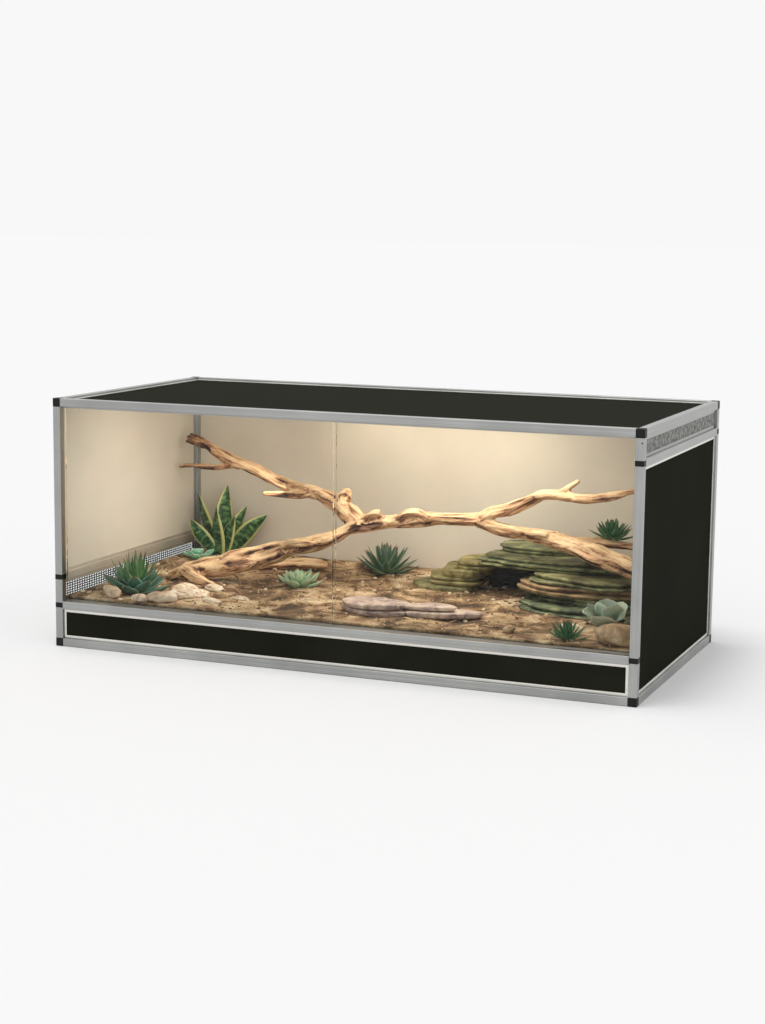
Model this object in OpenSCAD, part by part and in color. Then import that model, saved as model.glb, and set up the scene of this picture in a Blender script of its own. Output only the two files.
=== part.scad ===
// Reptile terrarium: square-tube frame with push-in connectors, recessed boards, two sliding glass
// doors, a low vent on the left side, a high vent on the right side, and its furnished floor.
// Millimetres. The origin is the middle of the footprint, +Z is up and the glass doors face -Y.

/* [Enclosure] */
// Width over the corner connectors, side to side
overall_w = 1200; // [1000:10:1500]
// Depth over the corner connectors, front to rear
overall_d = 600; // [520:10:760]
// Height over the corner connectors
overall_h = 500; // [440:10:640]
// Height of the kick rail's centre line above the ground
kick_rail_z = 84; // [72:1:110]
// Height of the rail above the left vent, at its centre line
left_vent_z = 141; // [130:1:170]
// Drop from the top of the frame to the centre line of the rail under the right vent
right_vent_drop = 62; // [48:1:90]

/* [Frame tube] */
// Side of the square tube
tube = 16; // [15:0.5:20]
// Wall of the square tube
tube_wall = 1.5; // [1:0.1:2]
// Radius of the tube's long edges
tube_edge_r = 1.2; // [0.6:0.1:1.4]
// Reach of the fins that hold a board
fin_reach = 6; // [4:0.5:8]
// Thickness of one fin
fin_t = 1.2; // [0.8:0.1:1.6]
// Depth of the boards behind the tube's outer face
panel_recess = 6; // [4:0.5:7]

/* [Connectors] */
// How far a connector stands proud of the tube
cap_proud = 0.5; // [0.2:0.1:1]
// Radius of the connector's edges
cap_edge_r = 2.2; // [1:0.1:3]
// Height of the band that shows where a rail meets a post
band_h = 10; // [8:0.5:13]
// Reach of a spigot into its tube
spigot_reach = 20; // [12:1:22]
// Clearance of a spigot inside its tube, each side
spigot_play = 0.2; // [0.1:0.05:0.4]
// Radius of the rivet head on the right front post
rivet_r = 1.5; // [1:0.1:2]
// Height of the rivet head
rivet_h = 0.5; // [0.3:0.1:1]
// Drop from the top of the frame to the rivet
rivet_drop = 26; // [20:1:34]

/* [Boards and vents] */
// Thickness of the dark outer board
skin_t = 2.5; // [2:0.1:3]
// Thickness of the pale inner liner
liner_t = 1.5; // [1:0.1:2]
// Clearance between a board and each fin
groove_play = 0.1; // [0.05:0.05:0.2]
// Clearance round the edges of boards and doors
edge_gap = 0.3; // [0.2:0.05:0.6]
// Thickness of the vent mesh
mesh_t = 1.2; // [0.8:0.1:2]
// Spacing of the mesh wires, centre to centre
mesh_pitch = 10; // [8:0.5:14]
// Width of one mesh wire
mesh_wire = 2; // [1:0.1:3]

/* [Sliding doors] */
// Thickness of the glass
glass_t = 4; // [3:0.5:4.5]
// Overlap of the two doors at the middle
door_overlap = 8; // [4:1:40]
// Clearance of the glass in its channel, each side
channel_play = 0.5; // [0.3:0.1:0.8]
// Thickness of the walls of the door tracks
track_wall = 1.5; // [1:0.1:2]
// Height of the upper door track
upper_track_h = 8; // [7:0.5:12]
// Height of the lower door track
lower_track_h = 5.5; // [5:0.5:6.5]
// Depth of the glass in the upper track at rest
upper_hold = 3; // [2:0.5:4]
// Thickness of the glide strips under the glass
glide_t = 0.8; // [0.5:0.1:1]
// Running clearance under the glass
glide_gap = 0.3; // [0.2:0.1:0.5]

/* [Floor filling] */
// Height of the sand above the lower track
sand_rise = 4; // [2:1:12]
// Gap between the filling and the walls
sand_gap = 1.2; // [0.5:0.1:3]

/* [Slate hide] */
// Thickness of one slate of the two stacks
slate_t = 17.5; // [12:0.5:22]
// Number of slates in each stack
slate_layers = 4; // [3:1:5]
// Thickness of the roof slate
roof_t = 18; // [12:1:26]
// Thickness of the thin slates on the roof
cap_slate_t = 14; // [8:1:20]

/* [Driftwood] */
// Thickness of the driftwood against the drawn limbs
limb_scale = 1; // [0.8:0.05:1.15]
// Sides of a limb
limb_sides = 10; // [8:1:14]

/* [Plants] */
// Leaf length of the agave at the front left
agave_leaf = 74; // [50:1:85]
// Leaf length of the spiky agave in the middle
spiky_leaf = 72; // [50:1:85]
// Longest leaf of the snake plant
snake_leaf = 165; // [110:1:190]
// Leaf length of the small rosette
small_leaf = 46; // [30:1:55]
// Leaf length of the flat teal rosette
teal_leaf = 38; // [25:1:48]
// Leaf length of the pale echeveria
echeveria_leaf = 52; // [35:1:58]
// Leaf length of the dark succulent at the front right
corner_leaf = 39; // [30:1:46]
// Leaf length of the plant on the driftwood
perch_leaf = 46; // [30:1:55]
// Radius of a plant's crown where it meets the ground
crown_r = 9; // [6:1:14]
// Height of a plant's crown
crown_h = 12; // [8:1:16]

/* [Hidden] */
$fa = 6;
$fs = 0.4;

tiny = 0.01;
block = tube + 2 * cap_proud;
board_t = skin_t + liner_t;
clear_w = overall_w - 2 * block;
clear_d = overall_d - 2 * block;
post_x = (overall_w - block) / 2;
post_y = (overall_d - block) / 2;
base_z = block / 2;
top_z = overall_h - block / 2;
right_vent_z = overall_h - right_vent_drop;
bore = tube - 2 * tube_wall;
spigot = bore - 2 * spigot_play;
// Outer face of a board, measured from the tube's centre line towards the outside
board_out = tube / 2 - panel_recess;
board_in = board_out - board_t;
fin_in = board_in - groove_play - fin_t;

// Door tracks lie against the rear faces of the front rails
track_y = -post_y + tube / 2;
channel_w = glass_t + 2 * channel_play;
track_d = 2 * channel_w + 3 * track_wall;
front_lane_y = track_y + track_wall + channel_w / 2;
rear_lane_y = front_lane_y + channel_w + track_wall;
upper_track_top = top_z + fin_in - edge_gap;
lower_track_top = kick_rail_z + tube / 2;
track_l = clear_w - 2 * edge_gap;
glass_low = lower_track_top - lower_track_h + track_wall + glide_t + glide_gap;
glass_high = upper_track_top - upper_track_h + upper_hold;
door_w = track_l / 2 - edge_gap + door_overlap / 2;

// Room inside the boards
wall_x = post_x + board_in;
wall_y = post_y + board_in;
sand_top = lower_track_top + sand_rise;
sand_low = lower_track_top + edge_gap;
sand_x = post_x + fin_in - sand_gap;
sand_y1 = post_y + fin_in - sand_gap;
sand_y0 = track_y + track_d + sand_gap;
floor_top = base_z - board_in;

// Room for which the furnishings' places are given: width, depth and height above the sand
drawn_room = [1179, 579, 392];
function spot_x(x) = x * 2 * wall_x / drawn_room.x;
function spot_y(y) = y * 2 * wall_y / drawn_room.y;
function spot_z(h) = sand_top + h * (top_z + board_in - sand_top) / drawn_room.z;

/* ---------- Frame ---------- */

module rounded_square(side, r) {
    square([side, side - 2 * r], center = true);
    square([side - 2 * r, side], center = true);
    for (x = [-1, 1], y = [-1, 1])
        translate([x * (side / 2 - r), y * (side / 2 - r)]) circle(r);
}

module tube_section() {
    difference() {
        rounded_square(tube, tube_edge_r);
        square(bore, center = true);
    }
}

// Two fins that hold a board leaving the tube at an angle; side is 1 where the board's outside
// lies anticlockwise of that direction, and -1 where it lies clockwise
module fin_pair(angle, side) {
    root = tube / 2 - tube_wall / 2;
    rotate(angle)
        scale([1, side])
            for (v = [board_out + groove_play, fin_in])
                translate([root, v]) square([tube / 2 - root + fin_reach, fin_t]);
}

module rail_section(fins) {
    tube_section();
    for (f = fins) fin_pair(f[0], f[1]);
}

module rail_along_x(y, z, fins) {
    color("silver")
        translate([-clear_w / 2, y, z])
            rotate([90, 0, 90])
                linear_extrude(clear_w) rail_section(fins);
}

// The fins stop short of those of the rails along X, which run from post to post
module rail_along_y(x, z, fins) {
    fin_end = fin_reach + edge_gap;
    color("silver")
        translate([x, clear_d / 2, z])
            rotate([90, 0, 0]) {
                linear_extrude(clear_d) tube_section();
                translate([0, 0, fin_end])
                    linear_extrude(clear_d - 2 * fin_end)
                        for (f = fins) fin_pair(f[0], f[1]);
            }
}

module base_rail_front() { rail_along_x(-post_y, base_z, [[0, -1], [90, 1]]); }
module base_rail_rear() { rail_along_x(post_y, base_z, [[90, -1], [180, 1]]); }
module base_rail_left() { rail_along_y(-post_x, base_z, [[90, 1], [0, -1]]); }
module base_rail_right() { rail_along_y(post_x, base_z, [[90, -1], [180, 1]]); }
module top_rail_front() { rail_along_x(-post_y, top_z, [[0, 1]]); }
module top_rail_rear() { rail_along_x(post_y, top_z, [[180, -1], [270, 1]]); }
module top_rail_left() { rail_along_y(-post_x, top_z, [[0, 1], [270, -1]]); }
module top_rail_right() { rail_along_y(post_x, top_z, [[180, -1], [270, 1]]); }
module kick_rail() { rail_along_x(-post_y, kick_rail_z, [[270, -1]]); }
module left_sill_rail() { rail_along_y(-post_x, kick_rail_z, [[90, 1], [270, -1]]); }
module left_vent_rail() { rail_along_y(-post_x, left_vent_z, [[90, 1], [270, -1]]); }
module right_vent_rail() { rail_along_y(post_x, right_vent_z, [[90, -1], [270, 1]]); }

// Heights at which each post is broken by a connector band
front_left_bands = [kick_rail_z, left_vent_z];
front_right_bands = [kick_rail_z, right_vent_z];
rear_left_bands = [kick_rail_z, left_vent_z];
rear_right_bands = [right_vent_z];

// Fins of a post: angle, side, and the lowest and highest rail centre lines between which they run
left_fins = [[kick_rail_z, left_vent_z], [left_vent_z, top_z], [base_z, kick_rail_z]];
right_fins = [[base_z, right_vent_z], [right_vent_z, top_z]];

module post(x, y, bands, fins) {
    low = concat([block], [for (b = bands) b + band_h / 2]);
    high = concat([for (b = bands) b - band_h / 2], [overall_h - block]);
    margin = tube / 2 + fin_reach + edge_gap;
    color("silver")
        translate([x, y, 0])
            for (i = [0 : len(low) - 1]) {
                translate([0, 0, low[i]])
                    linear_extrude(high[i] - low[i]) tube_section();
                for (f = fins) {
                    z0 = max(low[i], f[2] + margin);
                    z1 = min(high[i], f[3] - margin);
                    if (z1 > z0)
                        translate([0, 0, z0]) linear_extrude(z1 - z0) fin_pair(f[0], f[1]);
                }
            }
}

module front_left_post() {
    kick = [[0, -1, base_z, kick_rail_z]];
    post(-post_x, -post_y, front_left_bands,
        concat(kick, [for (f = left_fins) [90, 1, f[0], f[1]]]));
}

module front_right_post() {
    kick = [[180, 1, base_z, kick_rail_z]];
    post(post_x, -post_y, front_right_bands,
        concat(kick, [for (f = right_fins) [90, -1, f[0], f[1]]]));
}

module rear_left_post() {
    rear = [[0, 1, base_z, top_z]];
    post(-post_x, post_y, rear_left_bands,
        concat(rear, [for (f = left_fins) [270, -1, f[0], f[1]]]));
}

module rear_right_post() {
    rear = [[180, -1, base_z, top_z]];
    post(post_x, post_y, rear_right_bands,
        concat(rear, [for (f = right_fins) [270, 1, f[0], f[1]]]));
}

/* ---------- Connectors ---------- */

// A square peg that fills a tube's bore, pointing along +Z
module peg(length) {
    linear_extrude(length) square(spigot, center = true);
}

module corner_block() {
    intersection() {
        linear_extrude(block, center = true) rounded_square(block, cap_edge_r);
        rotate([90, 0, 0]) linear_extrude(block, center = true) rounded_square(block, cap_edge_r);
        rotate([0, 90, 0]) linear_extrude(block, center = true) rounded_square(block, cap_edge_r);
    }
}

// Three-way corner: sx, sy and sz point from the corner into the frame
module corner_connector(sx, sy, sz) {
    reach = block / 2 - cap_edge_r;
    inner = cap_edge_r + spigot_reach;
    corner_block();
    translate([sx * reach, 0, 0]) rotate([0, sx * 90, 0]) peg(inner);
    translate([0, sy * reach, 0]) rotate([-sy * 90, 0, 0]) peg(inner);
    translate([0, 0, sz * reach]) rotate([sz > 0 ? 0 : 180, 0, 0]) peg(inner);
}

module corner_connectors(z, sz) {
    color("dimgray")
        for (sx = [-1, 1], sy = [-1, 1])
            translate([sx * post_x, sy * post_y, z]) corner_connector(-sx, -sy, sz);
}

module base_corner_connectors() { corner_connectors(base_z, 1); }
module top_corner_connectors() { corner_connectors(top_z, -1); }

// Band in a post: pegs up and down, one towards a front rail (sx) and one towards a side rail (sy)
module tee_connector(sx, sy) {
    linear_extrude(band_h, center = true) rounded_square(block, cap_edge_r);
    for (s = [0, 180])
        rotate([s, 0, 0]) translate([0, 0, band_h / 2]) peg(spigot_reach);
    if (sx != 0)
        rotate([0, sx * 90, 0]) translate([0, 0, block / 2 - tiny]) peg(spigot_reach);
    if (sy != 0)
        rotate([-sy * 90, 0, 0]) translate([0, 0, block / 2 - tiny]) peg(spigot_reach);
}

module front_tee_connectors() {
    color("dimgray") {
        translate([-post_x, -post_y, kick_rail_z]) tee_connector(1, 1);
        translate([-post_x, -post_y, left_vent_z]) tee_connector(0, 1);
        translate([post_x, -post_y, kick_rail_z]) tee_connector(-1, 0);
        translate([post_x, -post_y, right_vent_z]) tee_connector(0, 1);
    }
}

module rear_tee_connectors() {
    color("dimgray") {
        translate([-post_x, post_y, kick_rail_z]) tee_connector(0, -1);
        translate([-post_x, post_y, left_vent_z]) tee_connector(0, -1);
        translate([post_x, post_y, right_vent_z]) tee_connector(0, -1);
    }
}

module post_rivet() {
    color("dimgray")
        translate([post_x + tube / 4, -post_y - tube / 2, overall_h - rivet_drop])
            rotate([90, 0, 0]) cylinder(r = rivet_r, h = rivet_h);
}

/* ---------- Boards, liners and vent mesh ---------- */

// A box from its low and high corners
module box(low, high) {
    translate(low) cube(high - low);
}

// Half sizes of a board's edges where they run between connectors
board_x = clear_w / 2 - edge_gap;
board_y = clear_d / 2 - edge_gap;
board_low = block + edge_gap;
board_high = overall_h - block - edge_gap;
kick_high = kick_rail_z - tube / 2 - edge_gap;

// Board of a side wall; side is -1 on the left, and near and far are depths from the outer face
module side_board(side, near, far, z0, z1) {
    x_out = post_x + board_out;
    translate([side > 0 ? x_out - far : -x_out + near, -board_y, z0])
        cube([far - near, 2 * board_y, z1 - z0]);
}

module floor_panel() {
    color("#2a2b26")
        box([-board_x, -board_y, base_z - board_out], [board_x, board_y, base_z - board_in]);
}

module kick_panel() {
    color("#2a2b26")
        box([-board_x, -post_y - board_out, board_low], [board_x, -post_y - board_in, kick_high]);
}

module left_base_panel() {
    color("#2a2b26") side_board(-1, 0, board_t, board_low, kick_high);
}

module left_panel() {
    color("#2a2b26")
        side_board(-1, 0, skin_t, left_vent_z + tube / 2 + edge_gap, board_high);
}

module left_liner() {
    color("#e6d8bd")
        side_board(-1, skin_t, board_t, left_vent_z + tube / 2 + edge_gap, board_high);
}

module right_panel() {
    color("#2a2b26")
        side_board(1, 0, skin_t, board_low, right_vent_z - tube / 2 - edge_gap);
}

module right_liner() {
    color("#e6d8bd")
        side_board(1, skin_t, board_t, board_low, right_vent_z - tube / 2 - edge_gap);
}

module rear_panel() {
    color("#2a2b26")
        box([-board_x, post_y + board_out - skin_t, board_low],
            [board_x, post_y + board_out, board_high]);
}

module rear_liner() {
    color("#e6d8bd")
        box([-board_x, post_y + board_in, board_low],
            [board_x, post_y + board_in + liner_t, board_high]);
}

module top_panel() {
    color("#2a2b26")
        box([-board_x, -board_y, top_z + board_out - skin_t], [board_x, board_y, top_z + board_out]);
}

module ceiling_liner() {
    color("#e6d8bd")
        box([-board_x, -board_y, top_z + board_in], [board_x, board_y, top_z + board_in + liner_t]);
}

// Net of square wires, drawn flat with its first corner at the origin
module net(length, height) {
    nx = floor((length - mesh_wire) / mesh_pitch);
    ny = floor((height - mesh_wire) / mesh_pitch);
    hole_x = (length - mesh_wire) / nx - mesh_wire;
    hole_y = (height - mesh_wire) / ny - mesh_wire;
    difference() {
        square([length, height]);
        for (i = [0 : nx - 1], j = [0 : ny - 1])
            translate([mesh_wire + i * (hole_x + mesh_wire), mesh_wire + j * (hole_y + mesh_wire)])
                square([hole_x, hole_y]);
    }
}

module side_net(side, z0, z1) {
    x_out = post_x + board_out;
    color("#77746e")
        translate([side > 0 ? x_out - mesh_t : -x_out, -board_y, z0])
            rotate([90, 0, 90])
                linear_extrude(mesh_t) net(2 * board_y, z1 - z0);
}

module left_vent_mesh() {
    side_net(-1, kick_rail_z + tube / 2 + edge_gap, left_vent_z - tube / 2 - edge_gap);
}

module right_vent_mesh() {
    side_net(1, right_vent_z + tube / 2 + edge_gap, board_high);
}

/* ---------- Sliding glass doors ---------- */

// Two channels side by side between heights z0 and z1, hollow from floor_z to roof_z
module track(z0, z1, floor_z, roof_z) {
    color("#9a9a98")
        difference() {
            box([-track_l / 2, track_y, z0], [track_l / 2, track_y + track_d, z1]);
            for (y = [front_lane_y, rear_lane_y])
                box([-track_l, y - channel_w / 2, floor_z], [track_l, y + channel_w / 2, roof_z]);
        }
}

module upper_door_track() {
    low = upper_track_top - upper_track_h;
    track(low, upper_track_top, low - 1, upper_track_top - track_wall);
}

module lower_door_track() {
    low = lower_track_top - lower_track_h;
    track(low, lower_track_top, low + track_wall, lower_track_top + 1);
}

module door_glide_strips() {
    z0 = lower_track_top - lower_track_h + track_wall;
    color("#303030")
        for (y = [front_lane_y, rear_lane_y])
            box([-track_l / 2, y - glass_t / 2, z0], [track_l / 2, y + glass_t / 2, z0 + glide_t]);
}

module glass_door(x0, y) {
    color("#cfe3dd", 0.35)
        box([x0, y - glass_t / 2, glass_low], [x0 + door_w, y + glass_t / 2, glass_high]);
}

module left_glass_door() { glass_door(-track_l / 2 + edge_gap, front_lane_y); }
module right_glass_door() { glass_door(track_l / 2 - edge_gap - door_w, rear_lane_y); }

/* ---------- Floor filling ---------- */

module substrate_base() {
    color("#8a6a45")
        box([-clear_w / 2 + fin_reach + sand_gap, sand_y0, floor_top],
            [clear_w / 2 - fin_reach - sand_gap, clear_d / 2 - fin_reach - sand_gap, sand_low]);
}

module substrate_top() {
    notch = block + fin_reach + sand_gap;
    color("#c9a97c")
        difference() {
            box([-sand_x, sand_y0, sand_low], [sand_x, sand_y1, sand_top]);
            for (s = [-1, 1])
                translate([s * overall_w / 2, overall_d / 2, sand_low])
                    cube([2 * notch, 2 * notch, 2 * overall_h], center = true);
        }
}

/* ---------- Driftwood ---------- */

// Limbs of the branch: x, y, height above the sand and radius, drawn for the room's drawn sizes
trunk = [
    [-478, -38, 8, 14], [-447, -35, 20, 20], [-413, -30, 29, 23], [-364, -20, 40, 25],
    [-315, -10, 54, 25], [-267, 0, 70, 23], [-229, 8, 85, 20], [-187, 20, 92, 18],
    [-151, 32, 103, 17], [-116, 45, 121, 17], [-82, 50, 136, 18], [-42, 55, 142, 15],
    [-8, 58, 148, 15], [31, 60, 156, 17], [81, 60, 160, 14], [131, 60, 161, 14], [172, 60, 164, 17]
];
upper_right_limb = [
    [172, 60, 164, 14], [206, 56, 181, 14], [241, 50, 192, 13], [276, 44, 209, 13],
    [306, 40, 223, 13], [346, 32, 228, 12], [386, 24, 225, 10], [430, 14, 229, 10],
    [470, 4, 240, 9], [509, -8, 250, 8], [560, -16, 258, 7]
];
upper_twig = [[350, 34, 233, 8], [368, 36, 247, 6], [385, 38, 258, 5]];
lower_right_limb = [
    [172, 60, 162, 15], [196, 58, 154, 14], [237, 50, 149, 14], [279, 42, 145, 15],
    [319, 34, 141, 17], [360, 24, 134, 19], [396, 16, 129, 20], [436, 4, 119, 21],
    [477, -8, 112, 20], [512, -20, 103, 19], [558, -34, 92, 17]
];
side_limb = [[355, 34, 138, 11], [408, 54, 135, 10], [450, 56, 135, 10], [560, 54, 128, 9]];
upper_left_limb = [
    [-82, 50, 138, 18], [-105, 60, 150, 21], [-133, 70, 167, 21], [-163, 80, 180, 18],
    [-205, 92, 190, 15], [-247, 104, 194, 14], [-285, 116, 198, 13], [-331, 132, 211, 13],
    [-380, 150, 225, 13], [-430, 166, 235, 13], [-469, 178, 248, 13], [-512, 190, 264, 12],
    [-546, 200, 273, 13], [-562, 205, 273, 12]
];
left_twig = [
    [-425, 168, 229, 9], [-466, 172, 220, 7], [-509, 178, 217, 7], [-552, 184, 217, 6],
    [-577, 189, 213, 5]
];
low_stub = [[-210, 92, 190, 10], [-246, 90, 184, 9], [-282, 86, 182, 8], [-319, 80, 182, 7]];
burl = [[-128, 72, 178, 17], [-127, 76, 199, 15]];
mid_stub = [[-72, 50, 149, 12], [-51, 44, 162, 10], [-38, 40, 166, 8]];
root_limb = [
    [-402, 126, 8, 9], [-346, 122, 18, 11], [-306, 130, 22, 12], [-268, 142, 25, 12],
    [-234, 160, 25, 11], [-215, 176, 20, 9]
];

// Places of the hide's slates and of the plants in the drawn room: x, y
left_stack_at = [90, 140];
right_stack_at = [410, 80];
roof_at = [320, 125];
long_cap_at = [262, 165];
short_cap_at = [435, 110];
front_agave_at = [-485, -165];
spiky_agave_at = [-85, 212];
teal_rosette_at = [-520, 172];
small_rosette_at = [-197, 5];
echeveria_at = [489, -100];
corner_succulent_at = [448, -225];
perch_succulent_at = [450, 55];
snake_plant_at = [-495, 222];
// Every other slate of a stack is moved back by this
slate_stagger = 4;
// Depth of the perch plant's crown in the hollow of its limb
perch_sink = 0.4;

// Stands its children on the sand at a place of the drawn room
module planted(at) {
    translate([spot_x(at.x), spot_y(at.y), sand_top]) children();
}

module limb(points) {
    for (i = [0 : len(points) - 2])
        hull()
            for (p = [points[i], points[i + 1]])
                translate([spot_x(p[0]), spot_y(p[1]), spot_z(p[2])])
                    sphere(r = p[3] * limb_scale, $fn = limb_sides);
}

// Keeps only what lies above the level sand
module above_sand() {
    intersection() {
        union() children();
        box([-wall_x, -wall_y, sand_top], [wall_x, wall_y, top_z]);
    }
}

module driftwood_branch() {
    color("#b98a5e")
        above_sand() {
            limb(trunk);
            limb(upper_right_limb);
            limb(upper_twig);
            limb(lower_right_limb);
            limb(side_limb);
            limb(upper_left_limb);
            limb(left_twig);
            limb(low_stub);
            limb(burl);
            limb(mid_stub);
        }
}

module driftwood_root() {
    color("#7a5238") above_sand() limb(root_limb);
}

/* ---------- Slate hide ---------- */

// Flat slate with a broken outline; seed changes the outline
module slate(length, depth, thickness, seed) {
    corners = 11;
    linear_extrude(thickness)
        polygon([for (i = [0 : corners - 1])
            let (a = 360 * i / corners, k = 0.9 + 0.1 * sin(seed * 71 + i * 137))
            [length / 2 * k * cos(a), depth / 2 * k * sin(a)]]);
}

// Layers of slate on the sand; each is moved by shift and shorter by shrink than the one below
module stack(at, length, depth, shift, shrink, seed) {
    for (i = [0 : slate_layers - 1])
        translate([shift * i, (i % 2) * slate_stagger, i * slate_t])
            planted(at) slate(length - shrink * i, depth, slate_t, seed + i);
}

stack_top = sand_top + slate_layers * slate_t;

module hide_left_stack() {
    color("#8a8450")
        stack(at = left_stack_at, length = 145, depth = 130, shift = 14, shrink = 22, seed = 1);
}

module hide_right_stack() {
    color("#66705c")
        stack(at = right_stack_at, length = 310, depth = 240, shift = -2, shrink = 2, seed = 7);
}

module hide_roof() {
    color("#6c7355")
        translate([0, 0, stack_top - sand_top])
            planted(roof_at) slate(length = 385, depth = 195, thickness = roof_t, seed = 13);
}

module hide_cap_slates() {
    color("#7c8360")
        translate([0, 0, stack_top + roof_t - sand_top]) {
            planted(long_cap_at) slate(length = 190, depth = 110, thickness = cap_slate_t, seed = 17);
            planted(short_cap_at) slate(length = 130, depth = 100, thickness = cap_slate_t / 2, seed = 19);
        }
}

/* ---------- Stones ---------- */

// Flat stones to bask on: x, y, length, width, height and turn
basking_rows = [
    [42, -160, 170, 92, 24, -4],
    [150, -150, 100, 48, 22, 10],
    [172, -158, 158, 62, 13, 22]
];
// Stones strewn over the sand, in the same order of values
loose_rows = [
    [-500, -240, 70, 26, 18, -40],
    [-432, -246, 40, 22, 12, 0],
    [-384, -244, 62, 26, 18, 8],
    [540, -228, 76, 58, 36, 10],
    [-300, -160, 26, 20, 12, 30],
    [-60, -60, 24, 18, 10, -20],
    [20, -90, 28, 20, 12, 15],
    [330, -215, 26, 20, 12, 70],
    [-560, -120, 26, 22, 12, 40]
];
// Outlines of a stone: height and width as shares of its own
stone_rings = [[0, 0.86], [0.35, 1], [0.97, 0.55]];
stone_sides = 11;

// Rounded stone, flat underneath, from one of the rows
module stone(row) {
    planted([row[0], row[1]])
        rotate(row[5])
            hull()
                for (ring = stone_rings)
                    translate([0, 0, ring[0] * row[4]])
                        linear_extrude((1 - stone_rings[2][0]) * row[4])
                            scale([row[2], row[3]] * ring[1] / 2)
                                circle(1, $fn = stone_sides);
}

module basking_stones() {
    color("#c7a898") for (row = basking_rows) stone(row);
}

module loose_stones() {
    color("#b79f82") for (row = loose_rows) stone(row);
}

/* ---------- Plants ---------- */

// Pointed leaf along +X, bent upwards by its rise; widest at a share of its length
module leaf(length, width, thick, rise, widest) {
    hull() {
        translate([0, -width / 4, 0]) cube([1, width / 2, thick]);
        translate([length * widest, -width / 2, rise * widest]) cube([1, width, thick]);
        translate([length - 1, -0.5, rise]) cube([1, 1, thick / 3]);
    }
}

// Largest turn of a leaf out of its regular place
leaf_sway = 5;
// Turn from one whorl of leaves to the next, and the height between them
whorl_turn = 11;
whorl_step = 2;
// Rise of a leaf's tip as a share of its length
leaf_rise = 0.08;
// Sides of a plant's crown
crown_sides = 12;

// Whorls of leaves round a crown; each whorl stands steeper and shorter than the one outside it
module rosette(length, width, thick, whorls, leaves, low_tilt, high_tilt, widest) {
    cylinder(r = crown_r, h = crown_h, $fn = crown_sides);
    for (w = [0 : whorls - 1]) {
        share = w / max(1, whorls - 1);
        tilt = low_tilt + (high_tilt - low_tilt) * share;
        for (i = [0 : leaves - 1]) {
            turn = 360 * (i + 0.5 * (w % 2)) / leaves + whorl_turn * w;
            rotate(turn + leaf_sway * sin(131 * i + 50 * w))
                translate([crown_r / 2, 0, crown_h / 2 + w * whorl_step + 0.6 * sin(97 * i)])
                    rotate([0, -tilt + leaf_sway * sin(77 * i + 40 * w), 0])
                        leaf(length * (1 - 0.3 * share), width * (1 - 0.25 * share), thick,
                            length * leaf_rise, widest);
        }
    }
}

module front_agave() {
    color("#3f6f5a")
        planted(front_agave_at)
            rosette(length = agave_leaf, width = 20, thick = 6, whorls = 3, leaves = 8,
                low_tilt = 15, high_tilt = 64, widest = 0.42);
}

module spiky_agave() {
    color("#3c5548")
        planted(spiky_agave_at)
            rosette(length = spiky_leaf, width = 16, thick = 5, whorls = 3, leaves = 8,
                low_tilt = 12, high_tilt = 66, widest = 0.35);
}

module teal_rosette() {
    color("#6fa58c")
        planted(teal_rosette_at)
            rosette(length = teal_leaf, width = 20, thick = 4, whorls = 2, leaves = 7,
                low_tilt = 10, high_tilt = 35, widest = 0.7);
}

module small_rosette() {
    color("#7f9e6c")
        planted(small_rosette_at)
            rosette(length = small_leaf, width = 13, thick = 4, whorls = 2, leaves = 9,
                low_tilt = 14, high_tilt = 48, widest = 0.6);
}

module echeveria() {
    color("#8fa592")
        planted(echeveria_at)
            rosette(length = echeveria_leaf, width = 34, thick = 4, whorls = 2, leaves = 5,
                low_tilt = 18, high_tilt = 55, widest = 0.7);
}

module corner_succulent() {
    color("#3d6b4a")
        planted(corner_succulent_at)
            rosette(length = corner_leaf, width = 10, thick = 4, whorls = 2, leaves = 7,
                low_tilt = 14, high_tilt = 55, widest = 0.35);
}

// Stands on the side limb of the driftwood
module perch_succulent() {
    perch = side_limb[2];
    color("#4d8a58")
        translate([0, 0, spot_z(perch.z) + perch[3] * limb_scale - sand_top - perch_sink])
            planted(perch_succulent_at)
                rosette(length = perch_leaf, width = 13, thick = 4, whorls = 3, leaves = 7,
                    low_tilt = 10, high_tilt = 62, widest = 0.4);
}

// One upright blade; lean is its tilt, turn its direction and swell the height of its widest place
module blade(length, width, lean, turn, thick = 3, swell = 0.55) {
    rotate(turn)
        translate([crown_r / 2, 0, crown_h / 2])
            rotate([0, lean, 0]) {
                hull() {
                    translate([-thick / 2, -width / 4, 0]) cube([thick, width / 2, 1]);
                    translate([-thick / 2, -width / 2, length * swell]) cube([thick, width, 1]);
                }
                hull() {
                    translate([-thick / 2, -width / 2, length * swell]) cube([thick, width, 1]);
                    translate([-0.5, -0.5, length - 1]) cube([1, 1, 1]);
                }
            }
}

module snake_plant() {
    color("#4c7a4a")
        planted(snake_plant_at) {
            cylinder(r = crown_r * 1.4, h = crown_h, $fn = crown_sides);
            blade(length = snake_leaf, width = 30, lean = 6, turn = 20);
            blade(length = snake_leaf * 0.9, width = 28, lean = 26, turn = 160);
            blade(length = snake_leaf * 0.85, width = 26, lean = 44, turn = 8);
            blade(length = snake_leaf * 0.72, width = 26, lean = 14, turn = 250);
            blade(length = snake_leaf * 0.62, width = 22, lean = 36, turn = 200);
            blade(length = snake_leaf * 0.6, width = 20, lean = 30, turn = 320);
        }
}

/* ---------- Assembly ---------- */

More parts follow.
